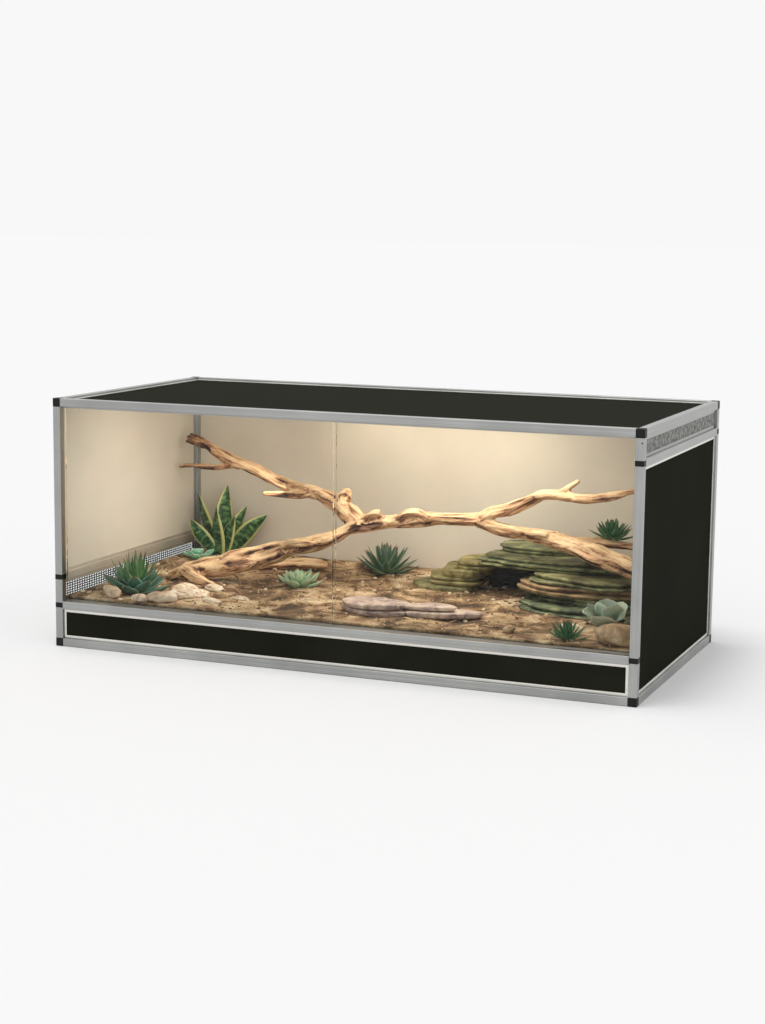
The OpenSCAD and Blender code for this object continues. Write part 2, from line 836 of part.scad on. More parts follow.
base_rail_front();
base_rail_rear();
base_rail_left();
base_rail_right();
top_rail_front();
top_rail_rear();
top_rail_left();
top_rail_right();
kick_rail();
left_sill_rail();
left_vent_rail();
right_vent_rail();
front_left_post();
front_right_post();
rear_left_post();
rear_right_post();
base_corner_connectors();
top_corner_connectors();
front_tee_connectors();
rear_tee_connectors();
post_rivet();
floor_panel();
kick_panel();
left_base_panel();
left_panel();
right_panel();
rear_panel();
top_panel();
left_liner();
right_liner();
rear_liner();
ceiling_liner();
left_vent_mesh();
right_vent_mesh();
upper_door_track();
lower_door_track();
door_glide_strips();
left_glass_door();
right_glass_door();
substrate_base();
substrate_top();
driftwood_branch();
driftwood_root();
hide_left_stack();
hide_right_stack();
hide_roof();
hide_cap_slates();
basking_stones();
loose_stones();
snake_plant();
front_agave();
spiky_agave();
teal_rosette();
small_rosette();
echeveria();
corner_succulent();
perch_succulent();
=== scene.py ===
import math
import random

import bmesh
import bpy
import numpy as np
from mathutils import Matrix, Vector, noise
from mathutils.kdtree import KDTree


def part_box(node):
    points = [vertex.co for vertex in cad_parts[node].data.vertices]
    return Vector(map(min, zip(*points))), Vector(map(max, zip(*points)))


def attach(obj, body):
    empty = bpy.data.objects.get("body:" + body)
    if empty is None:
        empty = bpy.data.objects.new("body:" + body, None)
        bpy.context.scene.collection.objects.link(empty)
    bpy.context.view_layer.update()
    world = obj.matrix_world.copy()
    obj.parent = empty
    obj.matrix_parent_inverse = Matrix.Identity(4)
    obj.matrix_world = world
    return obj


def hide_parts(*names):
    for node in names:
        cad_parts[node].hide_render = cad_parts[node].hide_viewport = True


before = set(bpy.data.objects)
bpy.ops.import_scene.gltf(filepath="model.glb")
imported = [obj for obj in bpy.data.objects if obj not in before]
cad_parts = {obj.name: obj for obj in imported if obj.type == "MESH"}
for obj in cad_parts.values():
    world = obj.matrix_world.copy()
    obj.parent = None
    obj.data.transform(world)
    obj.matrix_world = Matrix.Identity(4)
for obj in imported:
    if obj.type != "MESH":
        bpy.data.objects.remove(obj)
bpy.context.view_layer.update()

# Reptile terrarium: an aluminium-framed cabinet with sliding glass, filled with sand, wood, slate and plants.
# Metres, X along the front, Y towards the back, Z up, origin at the middle of the underside.

MM = 0.001

# ---------- Places taken from the frame ----------

sand_low, sand_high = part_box("substrate_top")
SAND_LEVEL = sand_high.z
REAR_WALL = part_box("rear_liner")[0].y
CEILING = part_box("ceiling_liner")[0].z

# ---------- Small tools ----------

NOISE, VORONOI, MAPPING = "ShaderNodeTexNoise", "ShaderNodeTexVoronoi", "ShaderNodeMapping"
RAMP, RANGE, MIX, BUMP = "ShaderNodeValToRGB", "ShaderNodeMapRange", "ShaderNodeMix", "ShaderNodeBump"
MATH, VECTOR_MATH = "ShaderNodeMath", "ShaderNodeVectorMath"
TO_XYZ, FROM_XYZ = "ShaderNodeCombineXYZ", "ShaderNodeSeparateXYZ"
# Sockets of a Mix node that mixes colours
MIX_SHARE, MIX_A, MIX_B, MIX_RESULT = 0, 6, 7, 2


def node(tree, kind, inputs=None, stops=(), **settings):
    """Adds a node, sets its properties, and fills or links its inputs. A node given as an input links its
    first output. Stops are a ramp's pairs of place and hex code."""
    made = tree.nodes.new(kind)
    for key, value in settings.items():
        setattr(made, key, value)
    for key, value in (inputs or {}).items():
        if isinstance(value, bpy.types.Node):
            value = value.outputs[0]
        if isinstance(value, bpy.types.NodeSocket):
            tree.links.new(value, made.inputs[key])
        else:
            made.inputs[key].default_value = value
    while stops and len(made.color_ramp.elements) < len(stops):
        made.color_ramp.elements.new(0.5)
    for number, (place, code) in enumerate(stops):
        made.color_ramp.elements[number].position = place
        made.color_ramp.elements[number].color = hex_colour(code)
    return made


def hex_colour(code):
    """Linear RGBA of an sRGB hex code."""
    shares = [int(code[i:i + 2], 16) / 255 for i in (1, 3, 5)]
    return [c / 12.92 if c <= 0.04045 else ((c + 0.055) / 1.055) ** 2.4 for c in shares] + [1.0]


def new_material(name):
    """A material without nodes, its tree, and the place on the object."""
    material = bpy.data.materials.new(name)
    material.use_nodes = True
    tree = material.node_tree
    tree.nodes.clear()
    return material, tree, node(tree, "ShaderNodeTexCoord").outputs["Object"]


def surface(material, **sockets):
    """Ends a material with one Principled shader."""
    tree = material.node_tree
    named = {key.replace("_", " "): value for key, value in sockets.items()}
    shader = node(tree, "ShaderNodeBsdfPrincipled", named)
    node(tree, "ShaderNodeOutputMaterial", {"Surface": shader})
    return material


def shaded(tree, colour, value, low, high, span=(0.0, 1.0)):
    """The colour, darker and lighter by the value's swing over its span."""
    shade = node(tree, RANGE, {"Value": value, "From Min": span[0], "From Max": span[1],
                               "To Min": low, "To Max": high})
    return node(tree, VECTOR_MATH, {0: colour, "Scale": shade}, operation="SCALE")


def clouded(name, patch, detail, stops, gloss=None, relief=None, distortion=0.0, **sockets):
    """A finish with one noise behind it. Patch is the size of its patches each way, in millimetres, stops its
    tones, gloss its roughness in the low and the high places, and relief the bump's strength and depth."""
    material, tree, place = new_material(name)
    place = node(tree, MAPPING, {"Vector": place, "Scale": [1 / (size * MM) for size in patch]})
    cloud = node(tree, NOISE, {"Vector": place, "Scale": 1.0, "Detail": detail, "Distortion": distortion})
    if gloss:
        sockets["Roughness"] = node(tree, RANGE, {"Value": cloud, "To Min": gloss[0], "To Max": gloss[1]})
    if relief:
        strength, depth = relief
        sockets["Normal"] = node(tree, BUMP, {"Height": cloud, "Strength": strength, "Distance": depth * MM})
    return surface(material, Base_Color=node(tree, RAMP, {"Fac": cloud}, stops), **sockets)


# ---------- Finishes of the cabinet ----------


def anodised_aluminium(name, along, dark="#989998", light="#B4B5B2", sheen=(0.36, 0.48)):
    """Extruded tube, etched and clear anodised: a soft grey sheen with faint die lines along its length.
    Sheen is the roughness of its brighter and duller patches."""
    material, tree, place = new_material(name)
    # Die lines are a few hundredths of a millimetre apart; drawn 1.2 mm apart so that they show
    scale = [1 / (1.2 * MM)] * 3
    scale["xyz".index(along)] = 1 / (900 * MM)
    drawn = node(tree, MAPPING, {"Vector": place, "Scale": scale})
    lines = node(tree, NOISE, {"Vector": drawn, "Scale": 1.0, "Detail": 2.0})
    cloud = node(tree, NOISE, {"Vector": place, "Scale": 1 / (120 * MM), "Detail": 3.0})
    both = node(tree, MATH, {0: lines, 1: cloud}, operation="MULTIPLY")
    rough = node(tree, RANGE, {"Value": cloud, "From Min": 0.3, "From Max": 0.7,
                               "To Min": sheen[0], "To Max": sheen[1]})
    return surface(material, Metallic=1.0, Roughness=rough,
                   Base_Color=node(tree, RAMP, {"Fac": both}, [(0.1, dark), (0.42, light)]),
                   Normal=node(tree, BUMP, {"Height": lines, "Strength": 0.25, "Distance": 0.05 * MM}))


def dark_laminate():
    """High-pressure laminate skin: deep olive black, an even pearl texture that kills reflections."""
    material, tree, place = new_material("dark_laminate")
    # Pearl texture about 0.6 mm across; drawn at 2 mm so that it shows
    pearl = node(tree, VORONOI, {"Vector": place, "Scale": 1 / (2 * MM)}, feature="SMOOTH_F1")
    haze = node(tree, NOISE, {"Vector": place, "Scale": 1 / (160 * MM), "Detail": 4.0})
    rough = node(tree, RANGE, {"Value": haze, "From Min": 0.3, "From Max": 0.7,
                               "To Min": 0.66, "To Max": 0.78})
    return surface(material, IOR=1.45, Specular_IOR_Level=0.005, Roughness=rough,
                   Base_Color=node(tree, RAMP, {"Fac": haze}, [(0.3, "#22231C"), (0.7, "#292A22")]),
                   Normal=node(tree, BUMP, {"Height": pearl, "Strength": 0.2, "Distance": 0.1 * MM}))


def cream_melamine():
    """Melamine-faced liner: warm cream, faintly clouded, with a satin surface that glows under the lamps."""
    material, tree, place = new_material("cream_melamine")
    cloud = node(tree, NOISE, {"Vector": place, "Scale": 1 / (220 * MM), "Detail": 4.0})
    grain = node(tree, NOISE, {"Vector": place, "Scale": 1 / (2 * MM), "Detail": 2.0})
    rough = node(tree, RANGE, {"Value": cloud, "To Min": 0.42, "To Max": 0.6})
    return surface(material, IOR=1.5, Roughness=rough,
                   Base_Color=node(tree, RAMP, {"Fac": cloud}, [(0.3, "#D3CABC"), (0.7, "#E0D8CA")]),
                   Normal=node(tree, BUMP, {"Height": grain, "Strength": 0.12, "Distance": 0.1 * MM}))


def woven_steel(name, dark, light):
    """Galvanised or blackened steel wire: patchy, where its coat is thicker or thinner."""
    return clouded(name, (9, 9, 9), 3.0, [(0.35, dark), (0.65, light)], gloss=(0.35, 0.6), Metallic=1.0)


ALUMINIUM = {axis: anodised_aluminium("anodised_aluminium_along_" + axis, axis) for axis in "xyz"}
# Door tracks in the frame's aluminium, painted lighter: painted light for the shade in their channel
TRACK_ALUMINIUM_PAINTED_LIGHT = anodised_aluminium("anodised_track_aluminium_painted_lighter", "x", "#B0AEAA", "#D0CDC6", (0.55, 0.7))
# The rail over the left vent: the frame's anodised aluminium, painted lighter and made rougher, as painted
# light for the shade it stands in
INNER_RAIL_PAINTED_LIGHT = anodised_aluminium("anodised_aluminium_painted_lighter", "y", "#C2BCB4", "#DCD6CC", (0.6, 0.75))
LIP = anodised_aluminium("bright_rolled_aluminium", "x", "#D6D4CC", "#EFEDE6")
LAMINATE = dark_laminate()
MELAMINE = cream_melamine()
BLACK_WIRE = woven_steel("blackened_wire", "#252321", "#4A4743")
ZINC_WIRE = woven_steel("galvanised_wire", "#6C6D6A", "#B4B5B1")
# Glass-filled nylon of the push-in connectors: black, with the dull grain of its mould
NYLON = clouded("moulded_nylon", (0.9, 0.9, 0.9), 2.0, [(0.3, "#0A0A0B"), (0.7, "#121213")],
                relief=(0.35, 0.1), Roughness=0.5, IOR=1.53, Specular_IOR_Level=0.25)
# Blackened steel rivet: dark, slightly glossy, rubbed brighter in spots
RIVET_STEEL = clouded("blackened_steel", (1.5, 1.5, 1.5), 3.0, [(0.4, "#2B2B2C"), (0.75, "#6C6C6C")],
                      gloss=(0.3, 0.55), Metallic=1.0)
# Acetal glide strip: warm grey, waxy and smooth, lightly scuffed by the glass
ACETAL = clouded("acetal", (40, 0.8, 0.8), 2.0, [(0.4, "#8A8479"), (0.7, "#A69F93")], gloss=(0.3, 0.5),
                 IOR=1.48)
# Float glass, 4 mm: clear with a trace of green, wiped clean but for a faint film. The index is below that of
# glass, so that the panes mirror as little of the studio as the real ones do
GLASS = clouded("float_glass", (90, 90, 90), 3.0, [(0.3, "#F6FBF9"), (0.7, "#FDFEFD")], gloss=(0.0, 0.012),
                IOR=1.18, Transmission_Weight=1.0)
# Pressed coconut fibre under the sand: brown, matted and dull
FIBRE = clouded("pressed_coconut_fibre", (3, 3, 3), 4.0, [(0.3, "#4A3524"), (0.7, "#7B5E40")],
                relief=(1.0, 0.8), distortion=1.5, Roughness=0.9)

# ---------- Finishes of the furnishings ----------


def desert_sand():
    """Washed sand with loam: tan grains, darker where it is damp and trodden, matt all over."""
    material, tree, place = new_material("desert_sand")
    damp = node(tree, NOISE, {"Vector": place, "Scale": 1 / (70 * MM), "Detail": 6.0, "Roughness": 0.62,
                              "Distortion": 0.6})
    ramp = node(tree, RAMP, {"Fac": damp}, [(0.36, "#4A3728"), (0.46, "#846748"), (0.54, "#B89A76"),
                                            (0.66, "#E2CBA8")])
    # Grains are near 0.5 mm; drawn at 2 mm so that they show
    grains = node(tree, VORONOI, {"Vector": place, "Scale": 1 / (2 * MM)})
    tone = node(tree, "ShaderNodeSeparateColor", {"Color": grains.outputs["Color"]})
    fine = node(tree, NOISE, {"Vector": place, "Scale": 1 / (2.5 * MM), "Detail": 4.0})
    return surface(material, Roughness=0.92, Base_Color=shaded(tree, ramp, tone, 0.62, 1.25),
                   Normal=node(tree, BUMP, {"Height": fine, "Strength": 0.8, "Distance": 1.2 * MM}))


def weathered_wood():
    """Sand-worn driftwood: pale tan, with brown weather streaks along the grain; painted highlight on the
    upper sides, painted shade underneath and in the checks and gouges, and the bark still on it darker.
    """
    material, tree, _ = new_material("weathered_driftwood")
    grain = node(tree, "ShaderNodeAttribute", attribute_name="grain").outputs["Vector"]
    hollow = node(tree, "ShaderNodeAttribute", attribute_name="hollow").outputs["Fac"]
    drawn = node(tree, MAPPING, {"Vector": grain, "Scale": (1 / (5 * MM), 1 / (5 * MM), 1 / (60 * MM))})
    streaks = node(tree, NOISE, {"Vector": drawn, "Scale": 1.0, "Detail": 5.0, "Roughness": 0.6,
                                 "Distortion": 0.4})
    patches = node(tree, NOISE, {"Vector": grain, "Scale": 1 / (45 * MM), "Detail": 3.0})
    summed = node(tree, MATH, {0: patches, 1: 0.55, 2: streaks}, operation="MULTIPLY_ADD")
    # The hollow attribute darkens: painted shade in the checks and gouges, and the bark's own darker tone
    sunk = node(tree, MATH, {0: hollow, 1: -0.42, 2: summed}, operation="MULTIPLY_ADD")
    # Painted highlight where the surface faces up and painted shade where it faces down, in place of the
    # light from above
    facing = node(tree, FROM_XYZ, {"Vector": node(tree, "ShaderNodeNewGeometry").outputs["Normal"]})
    sky = node(tree, RANGE, {"Value": facing.outputs["Z"], "From Min": -0.3, "From Max": 0.9, "To Min": -0.07,
                             "To Max": 0.12})
    ramp = node(tree, RAMP, {"Fac": node(tree, MATH, {0: sunk, 1: sky}, operation="ADD")},
                [(0.33, "#33201A"), (0.48, "#7E573F"), (0.63, "#C5976F"), (0.86, "#EBCB9F")])
    return surface(material, Roughness=0.78, Base_Color=ramp,
                   Normal=node(tree, BUMP, {"Height": streaks, "Strength": 0.9, "Distance": 1.6 * MM}))


def riven_slate(name, fresh, weathered):
    """Riven slate: cleft faces in the fresh tones, rusty where the layers break."""
    material, tree, place = new_material(name)
    tint = node(tree, "ShaderNodeAttribute", attribute_name="tint").outputs["Fac"]
    cloud = node(tree, NOISE, {"Vector": place, "Scale": 1 / (38 * MM), "Detail": 6.0, "Roughness": 0.6,
                               "Distortion": 0.7})
    drawn = node(tree, MAPPING, {"Vector": place, "Scale": (1 / (90 * MM), 1 / (90 * MM), 1 / (1.6 * MM))})
    layers = node(tree, NOISE, {"Vector": drawn, "Scale": 1.0, "Detail": 3.0})
    kind = node(tree, MIX, {MIX_SHARE: tint, MIX_A: node(tree, RAMP, {"Fac": cloud}, fresh),
                            MIX_B: node(tree, RAMP, {"Fac": cloud}, weathered)}, data_type="RGBA")
    fine = node(tree, BUMP, {"Height": layers, "Strength": 0.5, "Distance": 1 * MM})
    return surface(material, Roughness=0.7, IOR=1.5,
                   Base_Color=shaded(tree, kind.outputs[MIX_RESULT], layers, 0.7, 1.15, (0.3, 0.7)),
                   Normal=node(tree, BUMP, {"Height": cloud, "Strength": 0.6, "Distance": 3 * MM,
                                            "Normal": fine}))


def river_stone(name, low, middle, high):
    """Water-worn stone: smooth, clouded, with a few pale veins."""
    material, tree, place = new_material(name)
    cloud = node(tree, NOISE, {"Vector": place, "Scale": 1 / (26 * MM), "Detail": 6.0, "Roughness": 0.6,
                               "Distortion": 1.0})
    ramp = node(tree, RAMP, {"Fac": cloud}, [(0.32, low), (0.5, middle), (0.68, high)])
    grit = node(tree, NOISE, {"Vector": place, "Scale": 1 / (2 * MM), "Detail": 3.0})
    return surface(material, Roughness=0.6, IOR=1.5,
                   Base_Color=shaded(tree, ramp, grit, 0.86, 1.1, (0.3, 0.7)),
                   Normal=node(tree, BUMP, {"Height": grit, "Strength": 0.3, "Distance": 0.5 * MM}))


def strewn_bits(name, stops):
    """Loose bits of many tones, one tone to each bit."""
    material, tree, place = new_material(name)
    tint = node(tree, "ShaderNodeAttribute", attribute_name="tint").outputs["Fac"]
    grit = node(tree, NOISE, {"Vector": place, "Scale": 1 / (2 * MM), "Detail": 2.0})
    return surface(material, Roughness=0.85,
                   Base_Color=shaded(tree, node(tree, RAMP, {"Fac": tint}, stops), grit, 0.7, 1.2))


def margined(tree, split, colour, start, full, share, margin):
    """The leaf's colour, and its margin's along both edges. Start and full say where the margin sets in and
    where it is whole, from 0 at the midrib to 0.5 at the edge."""
    aside = node(tree, MATH, {0: split, 1: 0.5}, operation="SUBTRACT")
    edge = node(tree, RANGE, {"Value": node(tree, MATH, {0: aside}, operation="ABSOLUTE"),
                              "From Min": start, "From Max": full, "To Min": 0.0, "To Max": share})
    return node(tree, MIX, {MIX_SHARE: edge, MIX_A: colour, MIX_B: hex_colour(margin)},
                data_type="RGBA").outputs[MIX_RESULT]


def fleshy_leaf(name, base, body, tip, margin, point="#7A5B3A"):
    """Succulent leaf: waxy skin, paler at the foot, with a thin margin and a point of its own tone."""
    material, tree, place = new_material(name)
    split = node(tree, FROM_XYZ, {"Vector": node(tree, "ShaderNodeUVMap", uv_map="leaf")})
    bloom = node(tree, NOISE, {"Vector": place, "Scale": 1 / (8 * MM), "Detail": 4.0})
    drift = node(tree, RANGE, {"Value": bloom, "To Min": -0.16, "To Max": 0.16})
    along = node(tree, MATH, {0: split.outputs["Y"], 1: drift}, operation="ADD")
    ramp = node(tree, RAMP, {"Fac": along}, [(0.05, base), (0.35, body), (0.86, tip), (0.97, point)])
    return surface(material, IOR=1.42, Subsurface_Weight=0.08, Subsurface_Scale=0.004,
                   Base_Color=margined(tree, split, ramp, 0.38, 0.5, 0.8, margin),
                   Roughness=node(tree, RANGE, {"Value": bloom, "To Min": 0.36, "To Max": 0.62}),
                   Normal=node(tree, BUMP, {"Height": bloom, "Strength": 0.2, "Distance": 0.6 * MM}))


def banded_leaf():
    """Snake-plant blade: dark green with ragged pale cross bands and a cream margin."""
    material, tree, _ = new_material("banded_leaf")
    leaf = node(tree, "ShaderNodeUVMap", uv_map="leaf")
    # Bands lie across the blade, about 9 mm apart
    drawn = node(tree, MAPPING, {"Vector": leaf, "Scale": (2.2, 17.0, 0.0)})
    bands = node(tree, NOISE, {"Vector": drawn, "Scale": 1.0, "Detail": 5.0, "Roughness": 0.65})
    ramp = node(tree, RAMP, {"Fac": bands}, [(0.4, "#143019"), (0.5, "#2A5430"), (0.56, "#5F8A52"),
                                             (0.66, "#86A873")])
    split = node(tree, FROM_XYZ, {"Vector": leaf})
    return surface(material, Roughness=0.42, IOR=1.42,
                   Base_Color=margined(tree, split, ramp, 0.33, 0.4, 1.0, "#C9CB86"),
                   Normal=node(tree, BUMP, {"Height": bands, "Strength": 0.15, "Distance": 0.5 * MM}))


SAND = desert_sand()
WOOD = weathered_wood()
OCHRE = [(0.3, "#574A2B"), (0.46, "#857A47"), (0.6, "#ACA069"), (0.76, "#C6B088")]
MOSS = [(0.32, "#2B332A"), (0.46, "#5A664B"), (0.58, "#8A936D"), (0.72, "#ACAD83")]
BUFF = [(0.3, "#5F4C34"), (0.46, "#937A58"), (0.6, "#BC9C78"), (0.76, "#D2B294")]
SLATE = riven_slate("green_slate", MOSS, OCHRE)
TAN_SLATE = riven_slate("tan_slate", BUFF, OCHRE)
# Near-black slate: painted shade, standing for the dark inside of the hide's cave
CAVE_SHADE_SLATE = riven_slate("painted_shade_slate", [(0.3, "#0C0C0B"), (0.5, "#141412"), (0.75, "#1E1D19")], OCHRE)
PINK_STONE = river_stone("rose_sandstone", "#74646A", "#BCA397", "#DDCAB6")
# Pale stone of the front left: paler than the buff sandstone in its own tone, and lighter still as painted
# light for the dim front left corner
PALE_STONE_PARTLY_PAINTED_LIGHT = river_stone("pale_stone_partly_painted_light", "#A08468", "#DCC2A4", "#F4E6D0")
TAN_STONE = river_stone("buff_sandstone", "#7E6246", "#B0916B", "#D8BF9C")
# Dry inner bark: cream, with fine brown fibres and a silky bloom
BARK = clouded("peeled_bark", (30, 4, 4), 4.0, [(0.3, "#94745A"), (0.44, "#DCC3A4"), (0.6, "#F6EAD4")],
               relief=(0.6, 0.8), Roughness=0.7)
GRAVEL = strewn_bits("mixed_gravel",
                     [(0.0, "#4E3A28"), (0.35, "#8C6C49"), (0.7, "#C4A37A"), (0.95, "#E2D2B4")])
CHIPS = strewn_bits("bark_chips", [(0.0, "#35261A"), (0.4, "#6B4A2E"), (0.75, "#A67F55"), (0.95, "#CDAE84")])
AGAVE = fleshy_leaf("blue_agave_leaf", "#86A08C", "#4A7B66", "#3E6E5C", "#93B4A0")
AGAVE_HEART = fleshy_leaf("green_agave_leaf", "#A3B86C", "#5E8A4A", "#3F6A44", "#8FAE6E")
SPIKY = fleshy_leaf("dark_agave_leaf", "#93A884", "#5C7A5C", "#4B6A58", "#93A98C")
TEAL = fleshy_leaf("teal_rosette_leaf", "#6FB899", "#66BE9B", "#9ADBC0", "#DDF0DC", "#C4E6CF")
PALE = fleshy_leaf("pale_rosette_leaf", "#55855C", "#76A57C", "#BAD2AE", "#C6D9B8", "#D8DCB8")
GREY = fleshy_leaf("grey_echeveria_leaf", "#5F7462", "#7C937F", "#A9BAA8", "#B4C2B0", "#B9C6B2")
GREEN = fleshy_leaf("green_succulent_leaf", "#5C8A4C", "#2F6A40", "#2C5E3C", "#6FA070")

# ---------- Meshes and node trees ----------


def new_piece(name, points, faces, material, smooth=True, uv=None, tint=None):
    """A mesh object at the origin; uv gives each point's place on its leaf, and tint its tone."""
    mesh = bpy.data.meshes.new(name)
    mesh.from_pydata([tuple(p) for p in points], [], faces)
    mesh.polygons.foreach_set("use_smooth", [smooth] * len(mesh.polygons))
    if uv:
        layer = mesh.uv_layers.new(name="leaf")
        for loop in mesh.loops:
            layer.data[loop.index].uv = uv[loop.vertex_index]
    if tint:
        mesh.attributes.new("tint", "FLOAT", "POINT").data.foreach_set("value", np.array(tint, np.float32))
    if material:
        mesh.materials.append(material)
    piece = bpy.data.objects.new(name, mesh)
    bpy.context.scene.collection.objects.link(piece)
    return piece


def outwards(piece):
    """Turns every face of a closed piece outwards."""
    mesh = bmesh.new()
    mesh.from_mesh(piece.data)
    bmesh.ops.recalc_face_normals(mesh, faces=mesh.faces)
    mesh.to_mesh(piece.data)
    mesh.free()
    return piece


def quads(corner, columns, rows):
    """Four-sided faces of a grid, whose points are numbered by a function of column and row."""
    return [(corner(i, j), corner(i + 1, j), corner(i + 1, j + 1), corner(i, j + 1))
            for i in range(columns) for j in range(rows)]


def shell_of_rings(points, faces, rings, top, bottom):
    """Closes rings of points, given from top to bottom and each run anticlockwise, between two poles."""
    start, sides = len(points), len(rings[0])
    for ring in rings:
        points += ring
    points += [top, bottom]
    top_pole, bottom_pole = len(points) - 2, len(points) - 1
    last = start + (len(rings) - 1) * sides
    for s in range(sides):
        t = (s + 1) % sides
        faces += [(top_pole, start + s, start + t), (bottom_pole, last + t, last + s)]
    faces += quads(lambda k, s: start + k * sides + s % sides, len(rings) - 1, sides)


def egg(points, faces, shape, bands, sides):
    """A closed lump; shape gives the point that lies in a direction from its middle."""
    def at(up, turn):
        return shape(Vector((math.cos(up) * math.cos(turn), math.cos(up) * math.sin(turn), math.sin(up))))

    rings = [[at(math.pi / 2 - math.pi * (k + 1) / (bands + 1), 2 * math.pi * s / sides)
              for s in range(sides)] for k in range(bands)]
    shell_of_rings(points, faces, rings, at(math.pi / 2, 0), at(-math.pi / 2, 0))


def baked(piece, name):
    """The evaluated piece as a new plain mesh object; the old object goes."""
    bpy.context.view_layer.update()
    graph = bpy.context.evaluated_depsgraph_get()
    mesh = bpy.data.meshes.new_from_object(piece.evaluated_get(graph), preserve_all_data_layers=True,
                                           depsgraph=graph)
    bpy.data.objects.remove(piece)
    mesh.name = name
    made = bpy.data.objects.new(name, mesh)
    bpy.context.scene.collection.objects.link(made)
    return made


def grown(name, tree, values):
    """Runs a Geometry Nodes tree with its named inputs and gives the result as a plain mesh."""
    carrier = new_piece(name + "_carrier", [], [], None)
    modifier = carrier.modifiers.new("grow", "NODES")
    modifier.node_group = tree
    for item in tree.interface.items_tree:
        if item.item_type == "SOCKET" and item.in_out == "INPUT" and item.name in values:
            modifier[item.identifier] = values[item.name]
    return baked(carrier, name)


def new_tree(name, **inputs):
    """An empty Geometry Nodes tree with a geometry input and output and the named inputs."""
    tree = bpy.data.node_groups.new(name, "GeometryNodeTree")
    tree.interface.new_socket("Geometry", in_out="INPUT", socket_type="NodeSocketGeometry")
    tree.interface.new_socket("Geometry", in_out="OUTPUT", socket_type="NodeSocketGeometry")
    for label, kind in inputs.items():
        tree.interface.new_socket(label.replace("_", " "), in_out="INPUT", socket_type="NodeSocket" + kind)
    return tree, node(tree, "NodeGroupInput").outputs


def end_tree(tree, geometry, material):
    """Realises the instances, sets the material and links the output."""
    real = node(tree, "GeometryNodeRealizeInstances", {"Geometry": geometry})
    painted = node(tree, "GeometryNodeSetMaterial", {"Geometry": real, "Material": material})
    node(tree, "NodeGroupOutput", {0: painted})
    return tree


def settle(piece, slot, *cad_nodes):
    """The finished piece stays with the enclosure and stands for its CAD nodes."""
    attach(piece, "enclosure")
    if cad_nodes:
        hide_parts(*cad_nodes)


# ---------- Sand ----------

SAND_CELL = 4 * MM
POST_NOTCH = 12 * MM


def sand_height(x, y):
    """Height of the sand: low at the doors, banked up at the back and to the left, trodden between."""
    back = min(1.0, max(0.0, (y - sand_low.y) / (REAR_WALL - sand_low.y)))
    left = min(1.0, max(0.0, (0.1 - x) / 0.6))
    bank = 1.5 + 9 * back ** 1.4 + 7 * back * left
    swell = 4.0 * noise.noise(Vector((x * 9, y * 9, 0.3)))
    tread = 2.2 * noise.noise(Vector((x * 34, y * 34, 4.1)))
    grit = 0.7 * noise.noise(Vector((x * 150, y * 150, 9.7)))
    return SAND_LEVEL + max(-1.0, bank + swell + tread + grit) * MM


def planted(x, y, sink=3):
    """A place on the sand, from millimetres, a little below its surface."""
    return Vector((x * MM, y * MM, sand_height(x * MM, y * MM) - sink * MM))


def sand_bed():
    """The sand as one closed bed: relief on top, skirt to its underside, notched at the two rear posts."""
    low, high = sand_low, sand_high
    columns, rows = int((high.x - low.x) / SAND_CELL), int((high.y - low.y) / SAND_CELL)
    xs = [low.x + (high.x - low.x) * i / columns for i in range(columns + 1)]
    ys = [low.y + (high.y - low.y) * j / rows for j in range(rows + 1)]
    numbers, points, faces = {}, [], []

    def corner(i, j, top):
        if (i, j, top) not in numbers:
            numbers[i, j, top] = len(points)
            points.append((xs[i], ys[j], sand_height(xs[i], ys[j]) if top else low.z))
        return numbers[i, j, top]

    def filled(i, j):
        if not (0 <= i < columns and 0 <= j < rows):
            return False
        x, y = (xs[i] + xs[i + 1]) / 2, (ys[j] + ys[j + 1]) / 2
        return min(x - low.x, high.x - x) >= POST_NOTCH or high.y - y >= POST_NOTCH

    for i in range(columns):
        for j in range(rows):
            if not filled(i, j):
                continue
            ring = ((i, j), (i + 1, j), (i + 1, j + 1), (i, j + 1))
            faces.append([corner(*at, True) for at in ring])
            faces.append([corner(*at, False) for at in reversed(ring)])
            # The cell beyond each side, and the side's two ends
            for beyond, a, b in (((i - 1, j), 3, 0), ((i + 1, j), 1, 2),
                                 ((i, j - 1), 0, 1), ((i, j + 1), 2, 3)):
                if not filled(*beyond):
                    faces.append([corner(*ring[a], False), corner(*ring[b], False),
                                  corner(*ring[b], True), corner(*ring[a], True)])
    return new_piece("sand_bed", points, faces, SAND)


# ---------- Vent nets ----------


